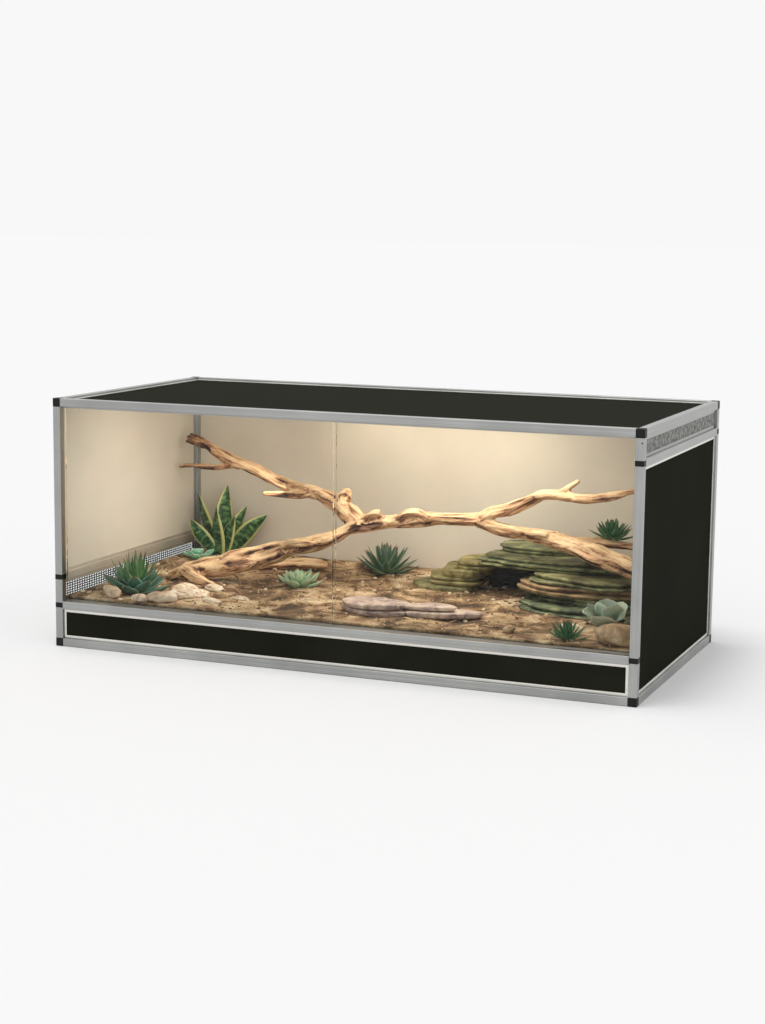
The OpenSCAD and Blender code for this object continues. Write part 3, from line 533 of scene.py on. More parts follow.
def net_tree():
    """Woven net in the YZ plane: each wire runs over and under the ones it crosses."""
    tree, given = new_tree("woven_net", Length="Float", Height="Float", Pitch_Along="Float", Pitch_Up="Float",
                           Wire="Float", Place="Vector", Finish="Material")
    pitch = {"Y": given["Pitch Along"], "Z": given["Pitch Up"]}
    reach = {"Y": given["Length"], "Z": given["Height"]}

    def wires(run, across, lift):
        """Wires that run along one axis and repeat along the other, waved out of the plane."""
        cells = node(tree, MATH, {0: reach[run], 1: pitch[run]}, operation="DIVIDE")
        steps = node(tree, MATH, {0: cells, 1: 2.0}, operation="MULTIPLY")
        line = node(tree, "GeometryNodeCurvePrimitiveLine", {"End": node(tree, TO_XYZ, {run: reach[run]})})
        fine = node(tree, "GeometryNodeResampleCurve", {"Curve": line, "Count": steps})
        count = node(tree, MATH, {0: reach[across], 1: pitch[across]}, operation="DIVIDE")
        step = node(tree, TO_XYZ, {across: pitch[across]})
        rows = node(tree, "GeometryNodeMeshLine", {"Count": count, "Offset": step})
        laid = node(tree, "GeometryNodeInstanceOnPoints", {"Points": rows, "Instance": fine})
        real = node(tree, "GeometryNodeRealizeInstances", {"Geometry": laid})
        split = node(tree, FROM_XYZ, {"Vector": node(tree, "GeometryNodeInputPosition")})
        turns = node(tree, MATH, {0: split.outputs[run], 1: pitch[run]}, operation="DIVIDE")
        place = node(tree, MATH, {0: split.outputs[across], 1: pitch[across]}, operation="DIVIDE")
        row = node(tree, MATH, {0: place}, operation="ROUND")
        phase = node(tree, MATH, {0: turns, 1: row}, operation="ADD")
        angle = node(tree, MATH, {0: phase, 1: math.pi}, operation="MULTIPLY")
        wave = node(tree, MATH, {0: angle}, operation="COSINE")
        swing = node(tree, MATH, {0: given["Wire"], 1: lift}, operation="MULTIPLY")
        out = node(tree, MATH, {0: wave, 1: swing}, operation="MULTIPLY")
        offset = node(tree, TO_XYZ, {"X": out})
        return node(tree, "GeometryNodeSetPosition", {"Geometry": real, "Offset": offset})

    both = node(tree, "GeometryNodeJoinGeometry")
    for strand in (wires("Y", "Z", 0.5), wires("Z", "Y", -0.5)):
        tree.links.new(strand.outputs[0], both.inputs[0])
    radius = node(tree, MATH, {0: given["Wire"], 1: 0.5}, operation="MULTIPLY")
    profile = node(tree, "GeometryNodeCurvePrimitiveCircle", {"Resolution": 5, "Radius": radius})
    wire = node(tree, "GeometryNodeCurveToMesh", {"Curve": both, "Profile Curve": profile, "Fill Caps": True})
    placed = node(tree, "GeometryNodeTransform", {"Geometry": wire, "Translation": given["Place"]})
    return end_tree(tree, placed, given["Finish"])


def vent_net(name, cad_node, tree, pitch, wire, finish):
    """Fine woven net in the place of a vent's plain mesh; pitch is along the vent and up it."""
    low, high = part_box(cad_node)
    return grown(name, tree, {
        "Length": high.y - low.y, "Height": high.z - low.z, "Pitch Along": pitch[0], "Pitch Up": pitch[1],
        "Wire": wire, "Place": Vector(((low.x + high.x) / 2, low.y, low.z)), "Finish": finish})


# ---------- Driftwood ----------

# Limbs: x, y and height above the sand of points on the centre line, and the radius there, in millimetres
BRANCH_LIMBS = [
    # Trunk
    [(-478, -38, 8, 14), (-447, -35, 20, 20), (-413, -30, 29, 23), (-364, -20, 40, 25), (-315, -10, 54, 25),
     (-267, 0, 70, 23), (-229, 8, 85, 20), (-187, 20, 92, 18), (-151, 32, 103, 17), (-116, 45, 121, 17),
     (-82, 50, 136, 18), (-42, 55, 142, 15), (-8, 58, 148, 15), (31, 60, 156, 17), (81, 60, 160, 14),
     (131, 60, 161, 14), (172, 60, 164, 17)],
    # Upper right limb and its twig
    [(172, 60, 164, 14), (206, 56, 181, 14), (241, 50, 192, 13), (276, 44, 209, 13), (306, 40, 223, 13),
     (346, 32, 228, 12), (386, 24, 225, 10), (430, 14, 229, 10), (470, 4, 240, 9), (509, -8, 250, 8),
     (560, -16, 258, 7)],
    [(350, 34, 233, 8), (368, 36, 247, 6), (385, 38, 258, 5)],
    # Lower right limb, and the one beside it that carries the succulent
    [(172, 60, 162, 15), (196, 58, 154, 14), (237, 50, 149, 14), (279, 42, 145, 15), (319, 34, 141, 17),
     (360, 24, 134, 19), (396, 16, 129, 20), (436, 4, 119, 21), (477, -8, 112, 20), (512, -20, 103, 19),
     (558, -34, 92, 17)],
    [(355, 34, 138, 11), (408, 54, 135, 10), (450, 56, 135, 10), (560, 54, 128, 9)],
    # Upper left limb and its twig
    [(-82, 50, 138, 18), (-105, 60, 150, 21), (-133, 70, 167, 21), (-163, 80, 180, 18), (-205, 92, 190, 15),
     (-247, 104, 194, 14), (-285, 116, 198, 13), (-331, 132, 211, 13), (-380, 150, 225, 13),
     (-430, 166, 235, 13), (-469, 178, 248, 13), (-512, 190, 264, 12), (-546, 200, 273, 14),
     (-562, 205, 273, 12)],
    [(-425, 168, 229, 9), (-466, 172, 220, 7), (-509, 178, 217, 7), (-552, 184, 217, 6), (-577, 189, 213, 5)],
    # Stub under the upper left limb, the burl on it, and the stub in the middle
    [(-210, 92, 190, 10), (-246, 90, 184, 9), (-282, 86, 182, 8), (-319, 80, 182, 7)],
    [(-128, 72, 178, 17), (-133, 76, 190, 14), (-120, 74, 199, 12)],
    [(-72, 50, 149, 12), (-51, 44, 162, 10), (-38, 40, 166, 8)],
    # Grown-over knots of the trunk, the crown and the fork, and a toe of the root
    [(-236, 8, 84, 12), (-214, -4, 96, 11), (-190, -10, 100, 10), (-168, 0, 98, 8)],
    [(6, 52, 158, 10), (22, 46, 169, 10), (44, 48, 172, 8), (58, 50, 166, 6)],
    [(284, 30, 146, 10), (306, 22, 149, 10), (330, 18, 147, 9)],
    [(-430, -44, 22, 14), (-400, -62, 16, 12), (-360, -74, 8, 8)]]
ROOT_LIMB = [(-402, 126, 8, 9), (-346, 122, 18, 11), (-306, 130, 22, 12), (-268, 142, 25, 12),
             (-234, 160, 25, 11), (-215, 176, 20, 9)]
# Where the bark is still on, dark and ragged
BARK_PLACE = Vector((-556, 203, 273)) * MM + Vector((0, 0, SAND_LEVEL))
BARK_REACH = 78 * MM
# The ribs stand out a little from the drawn radii
GIRTH = 1.06
ROUTE_STEP = 6 * MM
WOOD_VOXEL = 2.6 * MM


def smooth_route(points):
    """Points at even steps on a smooth curve through the given ones, with the radius as a fourth value."""
    rows = np.array([(x, y, SAND_LEVEL / MM + h, r * GIRTH) for x, y, h, r in points], float) * MM
    rows = np.vstack([2 * rows[0] - rows[1], rows, 2 * rows[-1] - rows[-2]])
    out = []
    for a, b, c, d in zip(rows, rows[1:], rows[2:], rows[3:]):
        parts = max(2, int(np.linalg.norm((c - b)[:3]) / ROUTE_STEP))
        for k in range(parts):
            t = k / parts
            out.append(0.5 * (2 * b + (c - a) * t + (2 * a - 5 * b + 4 * c - d) * t ** 2
                              + (3 * b - a - 3 * c + d) * t ** 3))
    return np.array(out + [rows[-2]])


def frames_along(route):
    """Length so far, tangent, side and up direction at each point, carried along without twisting."""
    tangents = np.gradient(route[:, :3], axis=0)
    tangents /= np.linalg.norm(tangents, axis=1)[:, None]
    side = np.cross(tangents[0], (0, 0, 1.0))
    rows, length = [], 0.0
    for k, tangent in enumerate(tangents):
        if k:
            length += float(np.linalg.norm(route[k][:3] - route[k - 1][:3]))
        side = side - tangent * side.dot(tangent)
        side /= np.linalg.norm(side)
        rows.append((length, tangent, side.copy(), np.cross(side, tangent)))
    return rows


def limb_shell(points, faces, route, seed, sides=22):
    """A gnarled limb: flattened, twisted, with ribs that run along it and swollen, ragged ends."""
    frames = frames_along(route)
    rings = []
    for row, (length, _, side, up) in zip(route, frames):
        lump = 1 + 0.24 * noise.noise(Vector((length * 24, seed, 1.7)))
        ring = []
        for s in range(sides):
            angle = 2 * math.pi * s / sides
            twisted = angle + 7 * length + seed
            ribs = 0.1 * math.sin(3 * twisted) + 0.07 * math.sin(5 * twisted + 2.1)
            dents = 0.3 * noise.noise(Vector((math.cos(angle) * 1.3, math.sin(angle) * 1.3,
                                              length * 26 + seed)))
            reach = row[3] * (lump + ribs + dents)
            ring.append(row[:3] + reach * (math.cos(angle) * side + 0.88 * math.sin(angle) * up))
        rings.append(ring)
    ends = [route[k][:3] + frames[k][1] * way * route[k][3] * 0.45 for k, way in ((0, -1), (-1, 1))]
    shell_of_rings(points, faces, rings, *ends)


def weather(piece, routes):
    """Cuts weather checks along the grain, and stores the place in the grain and how much each point is
    darkened: painted shade in the checks and gouges, and the bark's own dark tone where it is still on.
    """
    rows = [(Vector(row[:3]), length, [Vector(axis) for axis in axes])
            for route in routes for row, (length, *axes) in zip(route, frames_along(route))]
    tree = KDTree(len(rows))
    for index, row in enumerate(rows):
        tree.insert(row[0], index)
    tree.balance()
    mesh = piece.data
    grains, crack_shade_and_bark, moved = [], [], []
    for vertex in mesh.vertices:
        centre, length, (tangent, side, up) = rows[tree.find(vertex.co)[1]]
        offset = vertex.co - centre
        place = Vector((offset.dot(side), offset.dot(up), length + offset.dot(tangent)))
        # Checks are about 4 mm wide and 70 mm long, gouges 13 mm and 110 mm
        checks = noise.noise(Vector((place.x * 230, place.y * 230, place.z * 14)))
        gouges = noise.noise(Vector((place.x * 75, place.y * 75, place.z * 9 + 5)))
        cut = max(0.0, 0.25 - abs(checks)) * 4
        dip = max(0.0, gouges - 0.1) * 2.6
        bark = max(0.0, 1 - (vertex.co - BARK_PLACE).length / BARK_REACH)
        rag = bark * max(0.0, noise.noise(vertex.co * 130) + 0.2)
        moved.append(vertex.co - vertex.normal * (1.1 * cut + 3.4 * dip + 6 * rag) * MM)
        grains.append(place)
        # Painted shade as deep as the checks and gouges are cut, and the darker bark where it is still on
        crack_shade_and_bark.append(min(1.0, 0.45 * cut + dip + 1.3 * bark))
    for vertex, co in zip(mesh.vertices, moved):
        vertex.co = co
    # Each attribute is filled before the next is made, which would move it
    mesh.attributes.new("grain", "FLOAT_VECTOR", "POINT").data.foreach_set(
        "vector", np.array(grains, np.float32).ravel())
    mesh.attributes.new("hollow", "FLOAT", "POINT").data.foreach_set("value", np.array(crack_shade_and_bark, np.float32))


def driftwood(name, limbs):
    """Limbs grown together into one weathered piece, with the grain's direction stored for its finish."""
    points, faces = [], []
    routes = [smooth_route(limb) for limb in limbs]
    for number, route in enumerate(routes):
        limb_shell(points, faces, route, number * 3.3)
    raw = new_piece(name + "_raw", points, faces, WOOD)
    join = raw.modifiers.new("join", "REMESH")
    join.mode = "VOXEL"
    join.voxel_size = WOOD_VOXEL
    soften = raw.modifiers.new("soften", "SMOOTH")
    soften.factor = 0.5
    soften.iterations = 3
    piece = baked(raw, name)
    piece.data.polygons.foreach_set("use_smooth", [True] * len(piece.data.polygons))
    weather(piece, routes)
    return piece


# ---------- Slates ----------

# Rings of a slate layer from the top's middle over the worn rim to the middle underneath:
# share of the outline's reach, and height as a share of the thickness
SLATE_RINGS = [(0.3, 0.5), (0.6, 0.5), (0.84, 0.5), (0.95, 0.46), (1.0, 0.3), (0.985, -0.06),
               (0.93, -0.36), (0.8, -0.47), (0.55, -0.5)]
SLATE_SIDES = 72


def slate_layer(points, faces, centre, size, thick, seed, turn, corner):
    """One lamina of slate: broken outline, cleft face, rim worn back at the top and underneath.
    A corner of 2 gives an oval outline and a higher one a squarer outline."""
    rim = []
    for s in range(SLATE_SIDES):
        angle = 2 * math.pi * s / SLATE_SIDES
        nick = noise.noise(Vector((math.cos(angle) * 1.4 + seed, math.sin(angle) * 1.4, seed * 0.7)))
        chip = noise.noise(Vector((math.cos(angle) * 6 + seed, math.sin(angle) * 6, 3.1)))
        square = (abs(math.cos(angle)) ** corner + abs(math.sin(angle)) ** corner) ** (-1 / corner)
        rim.append((square * (0.92 + 0.13 * nick + 0.055 * round(chip * 3) / 3), angle))
    turned = Matrix.Rotation(turn, 3, "Z")

    def place(reach, angle, level):
        x = size[0] / 2 * reach * math.cos(angle)
        y = size[1] / 2 * reach * math.sin(angle)
        cleft = noise.noise(Vector((x * 14 + seed, y * 14, 2.2)))
        step = round(cleft * 3) / 3 * 0.22 + 0.12 * cleft
        z = thick * (level + (step if level > 0 else 0.3 * step))
        return Vector(centre) + turned @ Vector((x, y, z))

    rings = [[place(reach * share, angle, level) for reach, angle in rim] for share, level in SLATE_RINGS]
    shell_of_rings(points, faces, rings, place(0, 0, 0.5), place(0, 0, -0.5))


def slate_pile(name, slabs, material, corner=2.8):
    """Slabs of slate, each split into laminae: place, height above the sand, length, depth and thickness in
    millimetres, turn in degrees, number of laminae, seed, and how rusty it is from 0 to 1."""
    points, faces, tints = [], [], []
    for x, y, level, *size, turn, laminae, seed, rust in slabs:
        length, depth, thick = [value * MM for value in size]
        for k in range(laminae):
            dice = random.Random(seed * 31 + k)
            shift = (dice.uniform(-0.03, 0.03) * length, dice.uniform(-0.04, 0.04) * depth)
            shrink = 1 - dice.uniform(0, 0.09) - 0.02 * k
            before = len(points)
            centre = (x * MM + shift[0], y * MM + shift[1],
                      SAND_LEVEL + level * MM + thick * (k + 0.5) / laminae)
            slate_layer(points, faces, centre, (length * shrink, depth * shrink), thick / laminae * 1.04,
                        seed + 0.37 * k, math.radians(turn) + dice.uniform(-0.06, 0.06), corner)
            tint = min(1.0, max(0.0, rust + dice.uniform(-0.2, 0.2)))
            tints += [tint] * (len(points) - before)
    return new_piece(name, points, faces, material, smooth=False, tint=tints)


# ---------- Stones and bark ----------


def stones(name, rows, material):
    """Water-worn stones sunk a little in the sand: place, length, width, height in millimetres, and turn."""
    points, faces = [], []
    for number, (x, y, length, width, height, turn) in enumerate(rows):
        turned = Matrix.Rotation(math.radians(turn), 3, "Z")

        def shape(way):
            lump = 1 + 0.2 * noise.noise(way * 1.3 + Vector((number * 7.3, 0, 0))) \
                + 0.06 * noise.noise(way * 4 + Vector((0, number * 3.1, 0)))
            # Flatter on top and underneath than an egg
            high = math.copysign(abs(way.z) ** 0.72, way.z)
            reach = Vector((way.x * length / 2, way.y * width / 2, high * height / 2)) * lump * MM
            return planted(x, y, 2 - height / 2) + turned @ reach

        egg(points, faces, shape, 14, 40)
    return new_piece(name, points, faces, material)


def pebble(name, size):
    """A small lump one size unit long, to be strewn."""
    def shape(way):
        lump = 1 + 0.25 * noise.noise(way * 1.7 + Vector((size[0] * 40, 2, 3)))
        return Vector((way.x * size[0], way.y * size[1], way.z * size[2])) * lump / 2

    points, faces = [], []
    egg(points, faces, shape, 4, 8)
    return new_piece(name, points, faces, None)


def bark_curls(name, rows, material, along=14, across=12, skin=1.8):
    """Flakes of bark, dried to a curl and lying hollow side down: place, length, width and turn of each."""
    points, faces = [], []
    for number, (x, y, length, width, turn) in enumerate(rows):
        turned = Matrix.Rotation(math.radians(turn), 3, "Z")
        start = len(points)
        for inwards in (0.0, skin):
            for i in range(along + 1):
                share = i / along
                taper = math.sin(math.pi * (0.1 + 0.8 * share)) ** 0.7
                for j in range(across + 1):
                    angle = math.pi * (0.03 + 0.94 * j / across)
                    rag = 1 + 0.16 * noise.noise(Vector((share * 5, j * 0.4, number * 9.1)))
                    reach = width / 2 * taper * rag - inwards
                    run = (share - 0.5) * length * (1 + 0.1 * noise.noise(Vector((j * 0.7, number, 2.0))))
                    curl = Vector((run, reach * math.cos(angle), reach * 0.9 * math.sin(angle))) * MM
                    points.append(planted(x, y, 1) + turned @ curl)

        def corner(layer, i, j):
            return start + (layer * (along + 1) + i) * (across + 1) + j

        for layer in (0, 1):
            faces += quads(lambda i, j: corner(layer, i, j), along, across)
        for j in (0, across):
            faces += quads(lambda i, layer: corner(layer, i, j), along, 1)
        for i in (0, along):
            faces += quads(lambda j, layer: corner(layer, i, j), across, 1)
    return outwards(new_piece(name, points, faces, material))


# ---------- Leaves ----------


def leaf_shape(length, width, thick, widest, curl, cup, foot=0.55, twist=0.0, wave=0.0, ruffle=0.0):
    """Points, faces and places on the blade of a leaf along +X that curls up: its width a smooth rise and
    fall, hollow on top, closed at its point."""
    steps, around = 14, 12
    rings, middles, uv = [], [], []
    for k in reversed(range(steps)):
        t = k / (steps - 1)
        grow = foot + (1 - foot) * math.sin(min(1.0, t / widest) * math.pi / 2)
        fall = 1.0 if t < widest else math.cos((t - widest) / (1 - widest) * math.pi / 2) ** 0.8
        half = width / 2 * grow * fall + 0.2 * MM
        deep = thick * (0.35 + 0.65 * (1 - t) ** 0.8) * min(1.0, fall + 0.15)
        bend = curl * t
        middle = Vector((length * t * (1 - 0.12 * curl * t), wave * math.sin(t * 7) * length,
                         length * curl * t * t / 2))
        normal = Vector((-math.sin(bend), 0, math.cos(bend)))
        turn = Matrix.Rotation(twist * t, 3, Vector((math.cos(bend), 0, math.sin(bend))))
        ring = []
        for s in range(around):
            angle = 2 * math.pi * s / around
            across, up = math.cos(angle), math.sin(angle)
            hollow = cup * half * (across * across - 0.4)
            hollow += ruffle * half * across * across * math.sin(11 * t + (2.4 if across > 0 else 0))
            lift = up * deep / 2 * (1 - 0.35 * across ** 2) + hollow
            ring.append(middle + turn @ (Vector((0, 1, 0)) * across * half + normal * lift))
            uv.append((0.5 + 0.5 * across, t))
        rings.append(ring)
        middles.append(middle)
    points, faces = [], []
    # The rings run anticlockwise seen from the foot, so the foot is the shell's bottom pole
    shell_of_rings(points, faces, rings, middles[0] + Vector((length * 0.02, 0, length * 0.02)), middles[-1])
    return points, faces, uv + [(0.5, 1.0), (0.5, 0.0)]


def whorl_tree():
    """Leaves in a spiral round a crown, each a golden angle on from the last: outer ones low, inner steep."""
    tree, given = new_tree("leaf_spiral", Leaf="Object", Leaves="Int", Crown_Radius="Float",
                           Crown_Height="Float", Low_Tilt="Float", High_Tilt="Float", Inner_Scale="Float",
                           Seed="Int", Place="Vector", Finish="Material")
    last = node(tree, MATH, {0: given["Leaves"], 1: 1.0}, operation="SUBTRACT")
    index = node(tree, "GeometryNodeInputIndex")
    share = node(tree, MATH, {0: index, 1: last}, operation="DIVIDE")

    def between(low, high):
        """The value that goes from low to high with the leaf's share of the way to the heart."""
        return node(tree, RANGE, {"Value": share, "To Min": low, "To Max": high})

    def chance(least, most, salt):
        """A random number for each leaf."""
        seed = node(tree, MATH, {0: given["Seed"], 1: float(salt)}, operation="ADD")
        return node(tree, "FunctionNodeRandomValue", {2: least, 3: most, "ID": index, "Seed": seed},
                    data_type="FLOAT").outputs[1]

    golden = node(tree, MATH, {0: index, 1: math.pi * (3 - math.sqrt(5))}, operation="MULTIPLY")
    turn = node(tree, MATH, {0: golden, 1: chance(-0.12, 0.12, 1)}, operation="ADD")
    reach = between(given["Crown Radius"], 0.0)
    x, y = [node(tree, MATH, {0: reach, 1: node(tree, MATH, {0: turn}, operation=wave)}, operation="MULTIPLY")
            for wave in ("COSINE", "SINE")]
    spot = node(tree, TO_XYZ, {"X": x, "Y": y, "Z": between(0.0, given["Crown Height"])})
    tilt = node(tree, MATH, {0: between(given["Low Tilt"], given["High Tilt"]), 1: chance(-0.09, 0.09, 2)},
                operation="ADD")
    down = node(tree, MATH, {0: tilt, 1: -1.0}, operation="MULTIPLY")
    facing = node(tree, TO_XYZ, {"X": chance(-0.12, 0.12, 3), "Y": down, "Z": turn})
    size = node(tree, MATH, {0: between(1.0, given["Inner Scale"]), 1: chance(0.92, 1.06, 4)},
                operation="MULTIPLY")
    crown = node(tree, "GeometryNodePoints", {"Count": given["Leaves"], "Position": spot})
    leaf = node(tree, "GeometryNodeObjectInfo", {"Object": given["Leaf"]}).outputs["Geometry"]
    laid = node(tree, "GeometryNodeInstanceOnPoints",
                {"Points": crown, "Instance": leaf, "Rotation": facing, "Scale": size})
    placed = node(tree, "GeometryNodeTransform", {"Geometry": laid, "Translation": given["Place"]})
    return end_tree(tree, placed, given["Finish"])


def rosette(name, tree, place, leaf_size, leaves, tilts, material, inner, seed, **shape):
    """A succulent from one leaf: its size is length, width and thickness in millimetres. Tilts go from the
    outer to the inner leaves, in degrees, and inner is the innermost leaf's share of the outermost's size."""
    points, faces, uv = leaf_shape(*[value * MM for value in leaf_size], **shape)
    leaf = new_piece(name + "_leaf", points, faces, material, uv=uv)
    plant = grown(name, tree, {
        "Leaf": leaf, "Leaves": leaves, "Crown Radius": 7 * MM, "Crown Height": 9 * MM,
        "Low Tilt": math.radians(tilts[0]), "High Tilt": math.radians(tilts[1]), "Inner Scale": inner,
        "Seed": seed, "Place": place, "Finish": material})
    bpy.data.objects.remove(leaf)
    return plant


def blades(name, place, rows, material):
    """Upright blades from one crown: length, width, lean, turn and roll of each, in mm and degrees."""
    points, faces, uv = [], [], []
    for number, (length, width, lean, turn, roll) in enumerate(rows):
        blade, blade_faces, blade_uv = leaf_shape(length * MM, width * MM, 3.2 * MM, 0.52, 0.16, 0.3,
                                                  twist=0.5 * (-1) ** number, wave=0.012)
        stand = (Matrix.Translation(place) @ Matrix.Rotation(math.radians(turn), 4, "Z")
                 @ Matrix.Translation((5 * MM, 0, 0)) @ Matrix.Rotation(-math.radians(90 - lean), 4, "Y")
                 @ Matrix.Rotation(math.radians(roll), 4, "X"))
        faces += [[i + len(points) for i in face] for face in blade_faces]
        points += [stand @ point for point in blade]
        uv += blade_uv
    return new_piece(name, points, faces, material, uv=uv)


# ---------- Bits strewn on the sand ----------

# Kept free between strewn bits and the sand's edges
STREWN_GAP = 1.5 * MM
# How far a bit may lean over, in radians
STREWN_LEAN = 0.35


def strewn_tree():
    """Scatters one small piece over the top of a ground, at random turns and sizes, each with its tint."""
    tree, given = new_tree("strewn", Ground="Object", Bit="Object", Density="Float", Least="Float",
                           Most="Float", Sink="Float", Seed="Int", Middle="Vector", Room="Vector",
                           Finish="Material")
    ground = node(tree, "GeometryNodeObjectInfo", {"Object": given["Ground"]}).outputs["Geometry"]
    normal = node(tree, FROM_XYZ, {"Vector": node(tree, "GeometryNodeInputNormal")})
    upward = node(tree, MATH, {0: normal.outputs["Z"], 1: 0.5}, operation="SUBTRACT")
    # Nothing lies nearer to the walls than the room allows
    place = node(tree, "GeometryNodeInputPosition")
    aside = node(tree, VECTOR_MATH, {0: place, 1: given["Middle"]}, operation="SUBTRACT")
    far = node(tree, VECTOR_MATH, {0: aside}, operation="ABSOLUTE")
    left = node(tree, VECTOR_MATH, {0: given["Room"], 1: far}, operation="SUBTRACT")
    spare = node(tree, FROM_XYZ, {"Vector": left})
    inside = node(tree, MATH, {0: spare, 1: spare.outputs["Y"]}, operation="MINIMUM")
    both = node(tree, MATH, {0: inside, 1: upward}, operation="MINIMUM")
    fit = node(tree, "FunctionNodeCompare", {0: both, 1: 0.0}, operation="GREATER_THAN")
    spots = node(tree, "GeometryNodeDistributePointsOnFaces",
                 {"Mesh": ground, "Selection": fit, "Density": given["Density"], "Seed": given["Seed"]})
    facing = node(tree, "FunctionNodeRandomValue",
                  {0: (-STREWN_LEAN, -STREWN_LEAN, 0.0), 1: (STREWN_LEAN, STREWN_LEAN, 2 * math.pi),
                   "Seed": given["Seed"]}, data_type="FLOAT_VECTOR")
    size = node(tree, "FunctionNodeRandomValue", {2: given["Least"], 3: given["Most"], "Seed": given["Seed"]},
                data_type="FLOAT").outputs[1]
    bit = node(tree, "GeometryNodeObjectInfo", {"Object": given["Bit"]}).outputs["Geometry"]
    down = node(tree, TO_XYZ, {"Z": given["Sink"]})
    sunk = node(tree, "GeometryNodeSetPosition", {"Geometry": spots, "Offset": down})
    laid = node(tree, "GeometryNodeInstanceOnPoints",
                {"Points": sunk, "Instance": bit, "Rotation": facing, "Scale": size})
    tone = node(tree, "FunctionNodeRandomValue", {2: 0.0, 3: 1.0, "Seed": given["Seed"]},
                data_type="FLOAT").outputs[1]
    tinted = node(tree, "GeometryNodeStoreNamedAttribute", {"Geometry": laid, "Name": "tint", "Value": tone},
                  data_type="FLOAT", domain="INSTANCE")
    return end_tree(tree, tinted, given["Finish"])


def strew(name, tree, ground, shape, density, sizes, sink, seed, material):
    """Strewn bits as one piece; sizes and sink are in millimetres, density in bits per square metre."""
    bit = pebble(name + "_bit", shape)
    clear = sizes[1] / 2 * MM + STREWN_GAP
    made = grown(name, tree, {
        "Ground": ground, "Bit": bit, "Density": density, "Least": sizes[0] * MM, "Most": sizes[1] * MM,
        "Sink": sink * MM, "Seed": seed, "Middle": (sand_low + sand_high) / 2,
        "Room": (sand_high - sand_low) / 2 - Vector([clear] * 3), "Finish": material})
    bpy.data.objects.remove(bit)
    return made


# ---------- The cabinet ----------

for finish, cad_nodes in (
        (ALUMINIUM["x"], "base_rail_front base_rail_rear top_rail_front top_rail_rear kick_rail"),
        (ALUMINIUM["y"], "base_rail_left base_rail_right top_rail_left top_rail_right"),
        (ALUMINIUM["y"], "left_sill_rail right_vent_rail"),
        (ALUMINIUM["z"], "front_left_post front_right_post rear_left_post rear_right_post"),
        (INNER_RAIL_PAINTED_LIGHT, "left_vent_rail"),
        (NYLON, "base_corner_connectors top_corner_connectors front_tee_connectors rear_tee_connectors"),
        (RIVET_STEEL, "post_rivet"),
        (LAMINATE, "floor_panel kick_panel left_base_panel left_panel right_panel rear_panel top_panel"),
        (MELAMINE, "left_liner right_liner rear_liner ceiling_liner"),
        (TRACK_ALUMINIUM_PAINTED_LIGHT, "upper_door_track lower_door_track"),
        (ACETAL, "door_glide_strips"),
        (GLASS, "left_glass_door right_glass_door"),
        (FIBRE, "substrate_base")):
    for cad_node in cad_nodes.split():
        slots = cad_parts[cad_node].data.materials
        slots.clear()
        slots.append(finish)

LIP_WIDE = 5.2 * MM
LIP_HIGH = 0.9 * MM
LIP_ROOT = -0.2 * MM
# From the tube to the board: distance from the opening's edge and height above the fin
LIP_PROFILE = [(LIP_WIDE, LIP_ROOT), (LIP_WIDE, LIP_HIGH * 0.5), (LIP_WIDE * 0.6, LIP_HIGH),
               (LIP_WIDE * 0.2, LIP_HIGH), (0.0, LIP_HIGH * 0.4), (0.0, LIP_ROOT)]
# How far the fins reach over a board's edges, and how far they stand out from its face
BOARD_COVER = 5.4 * MM
FIN_STEP = 1.3 * MM


def lip_frame(board, facing):
    """The bright rolled lips of the fins round one board, mitred at the corners. Facing is the sign and axis
    of the board's outer face."""
    low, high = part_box(board)
    axis, sign = "xyz".index(facing[1]), -1 if facing[0] == "-" else 1
    u, v = [k for k in range(3) if k != axis]
    face = (high if sign > 0 else low)[axis] + sign * FIN_STEP
    points = []
    for du, dv in ((-1, -1), (1, -1), (1, 1), (-1, 1)):
        for out, lift in LIP_PROFILE:
            point = [0.0, 0.0, 0.0]
            point[axis] = face + sign * lift
            point[u] = (high if du > 0 else low)[u] + du * (out - BOARD_COVER)
            point[v] = (high if dv > 0 else low)[v] + dv * (out - BOARD_COVER)
            points.append(point)
    count = len(LIP_PROFILE)
    faces = quads(lambda k, corner: corner % 4 * count + k % count, count, 4)
    settle(outwards(new_piece(board + "_lips", points, faces, LIP, smooth=False)), "frame_aluminium")


for board, side in (("kick_panel", "-y"), ("right_panel", "+x"), ("top_panel", "+z"), ("rear_panel", "+y"),
                    ("left_panel", "-x"), ("left_base_panel", "-x")):
    lip_frame(board, side)

woven_net = net_tree()
settle(vent_net("left_vent_net", "left_vent_mesh", woven_net, (9.6 * MM, 4.8 * MM), 2.2 * MM, BLACK_WIRE),
       "vent_mesh", "left_vent_mesh")
settle(vent_net("right_vent_net", "right_vent_mesh", woven_net, (3.6 * MM, 3.2 * MM), 1.5 * MM, ZINC_WIRE),
       "vent_mesh", "right_vent_mesh")

# ---------- The furnishings ----------

sand = sand_bed()
settle(driftwood("driftwood_limbs", BRANCH_LIMBS), "driftwood", "driftwood_branch")
settle(driftwood("driftwood_root_limb", [ROOT_LIMB]), "driftwood", "driftwood_root")
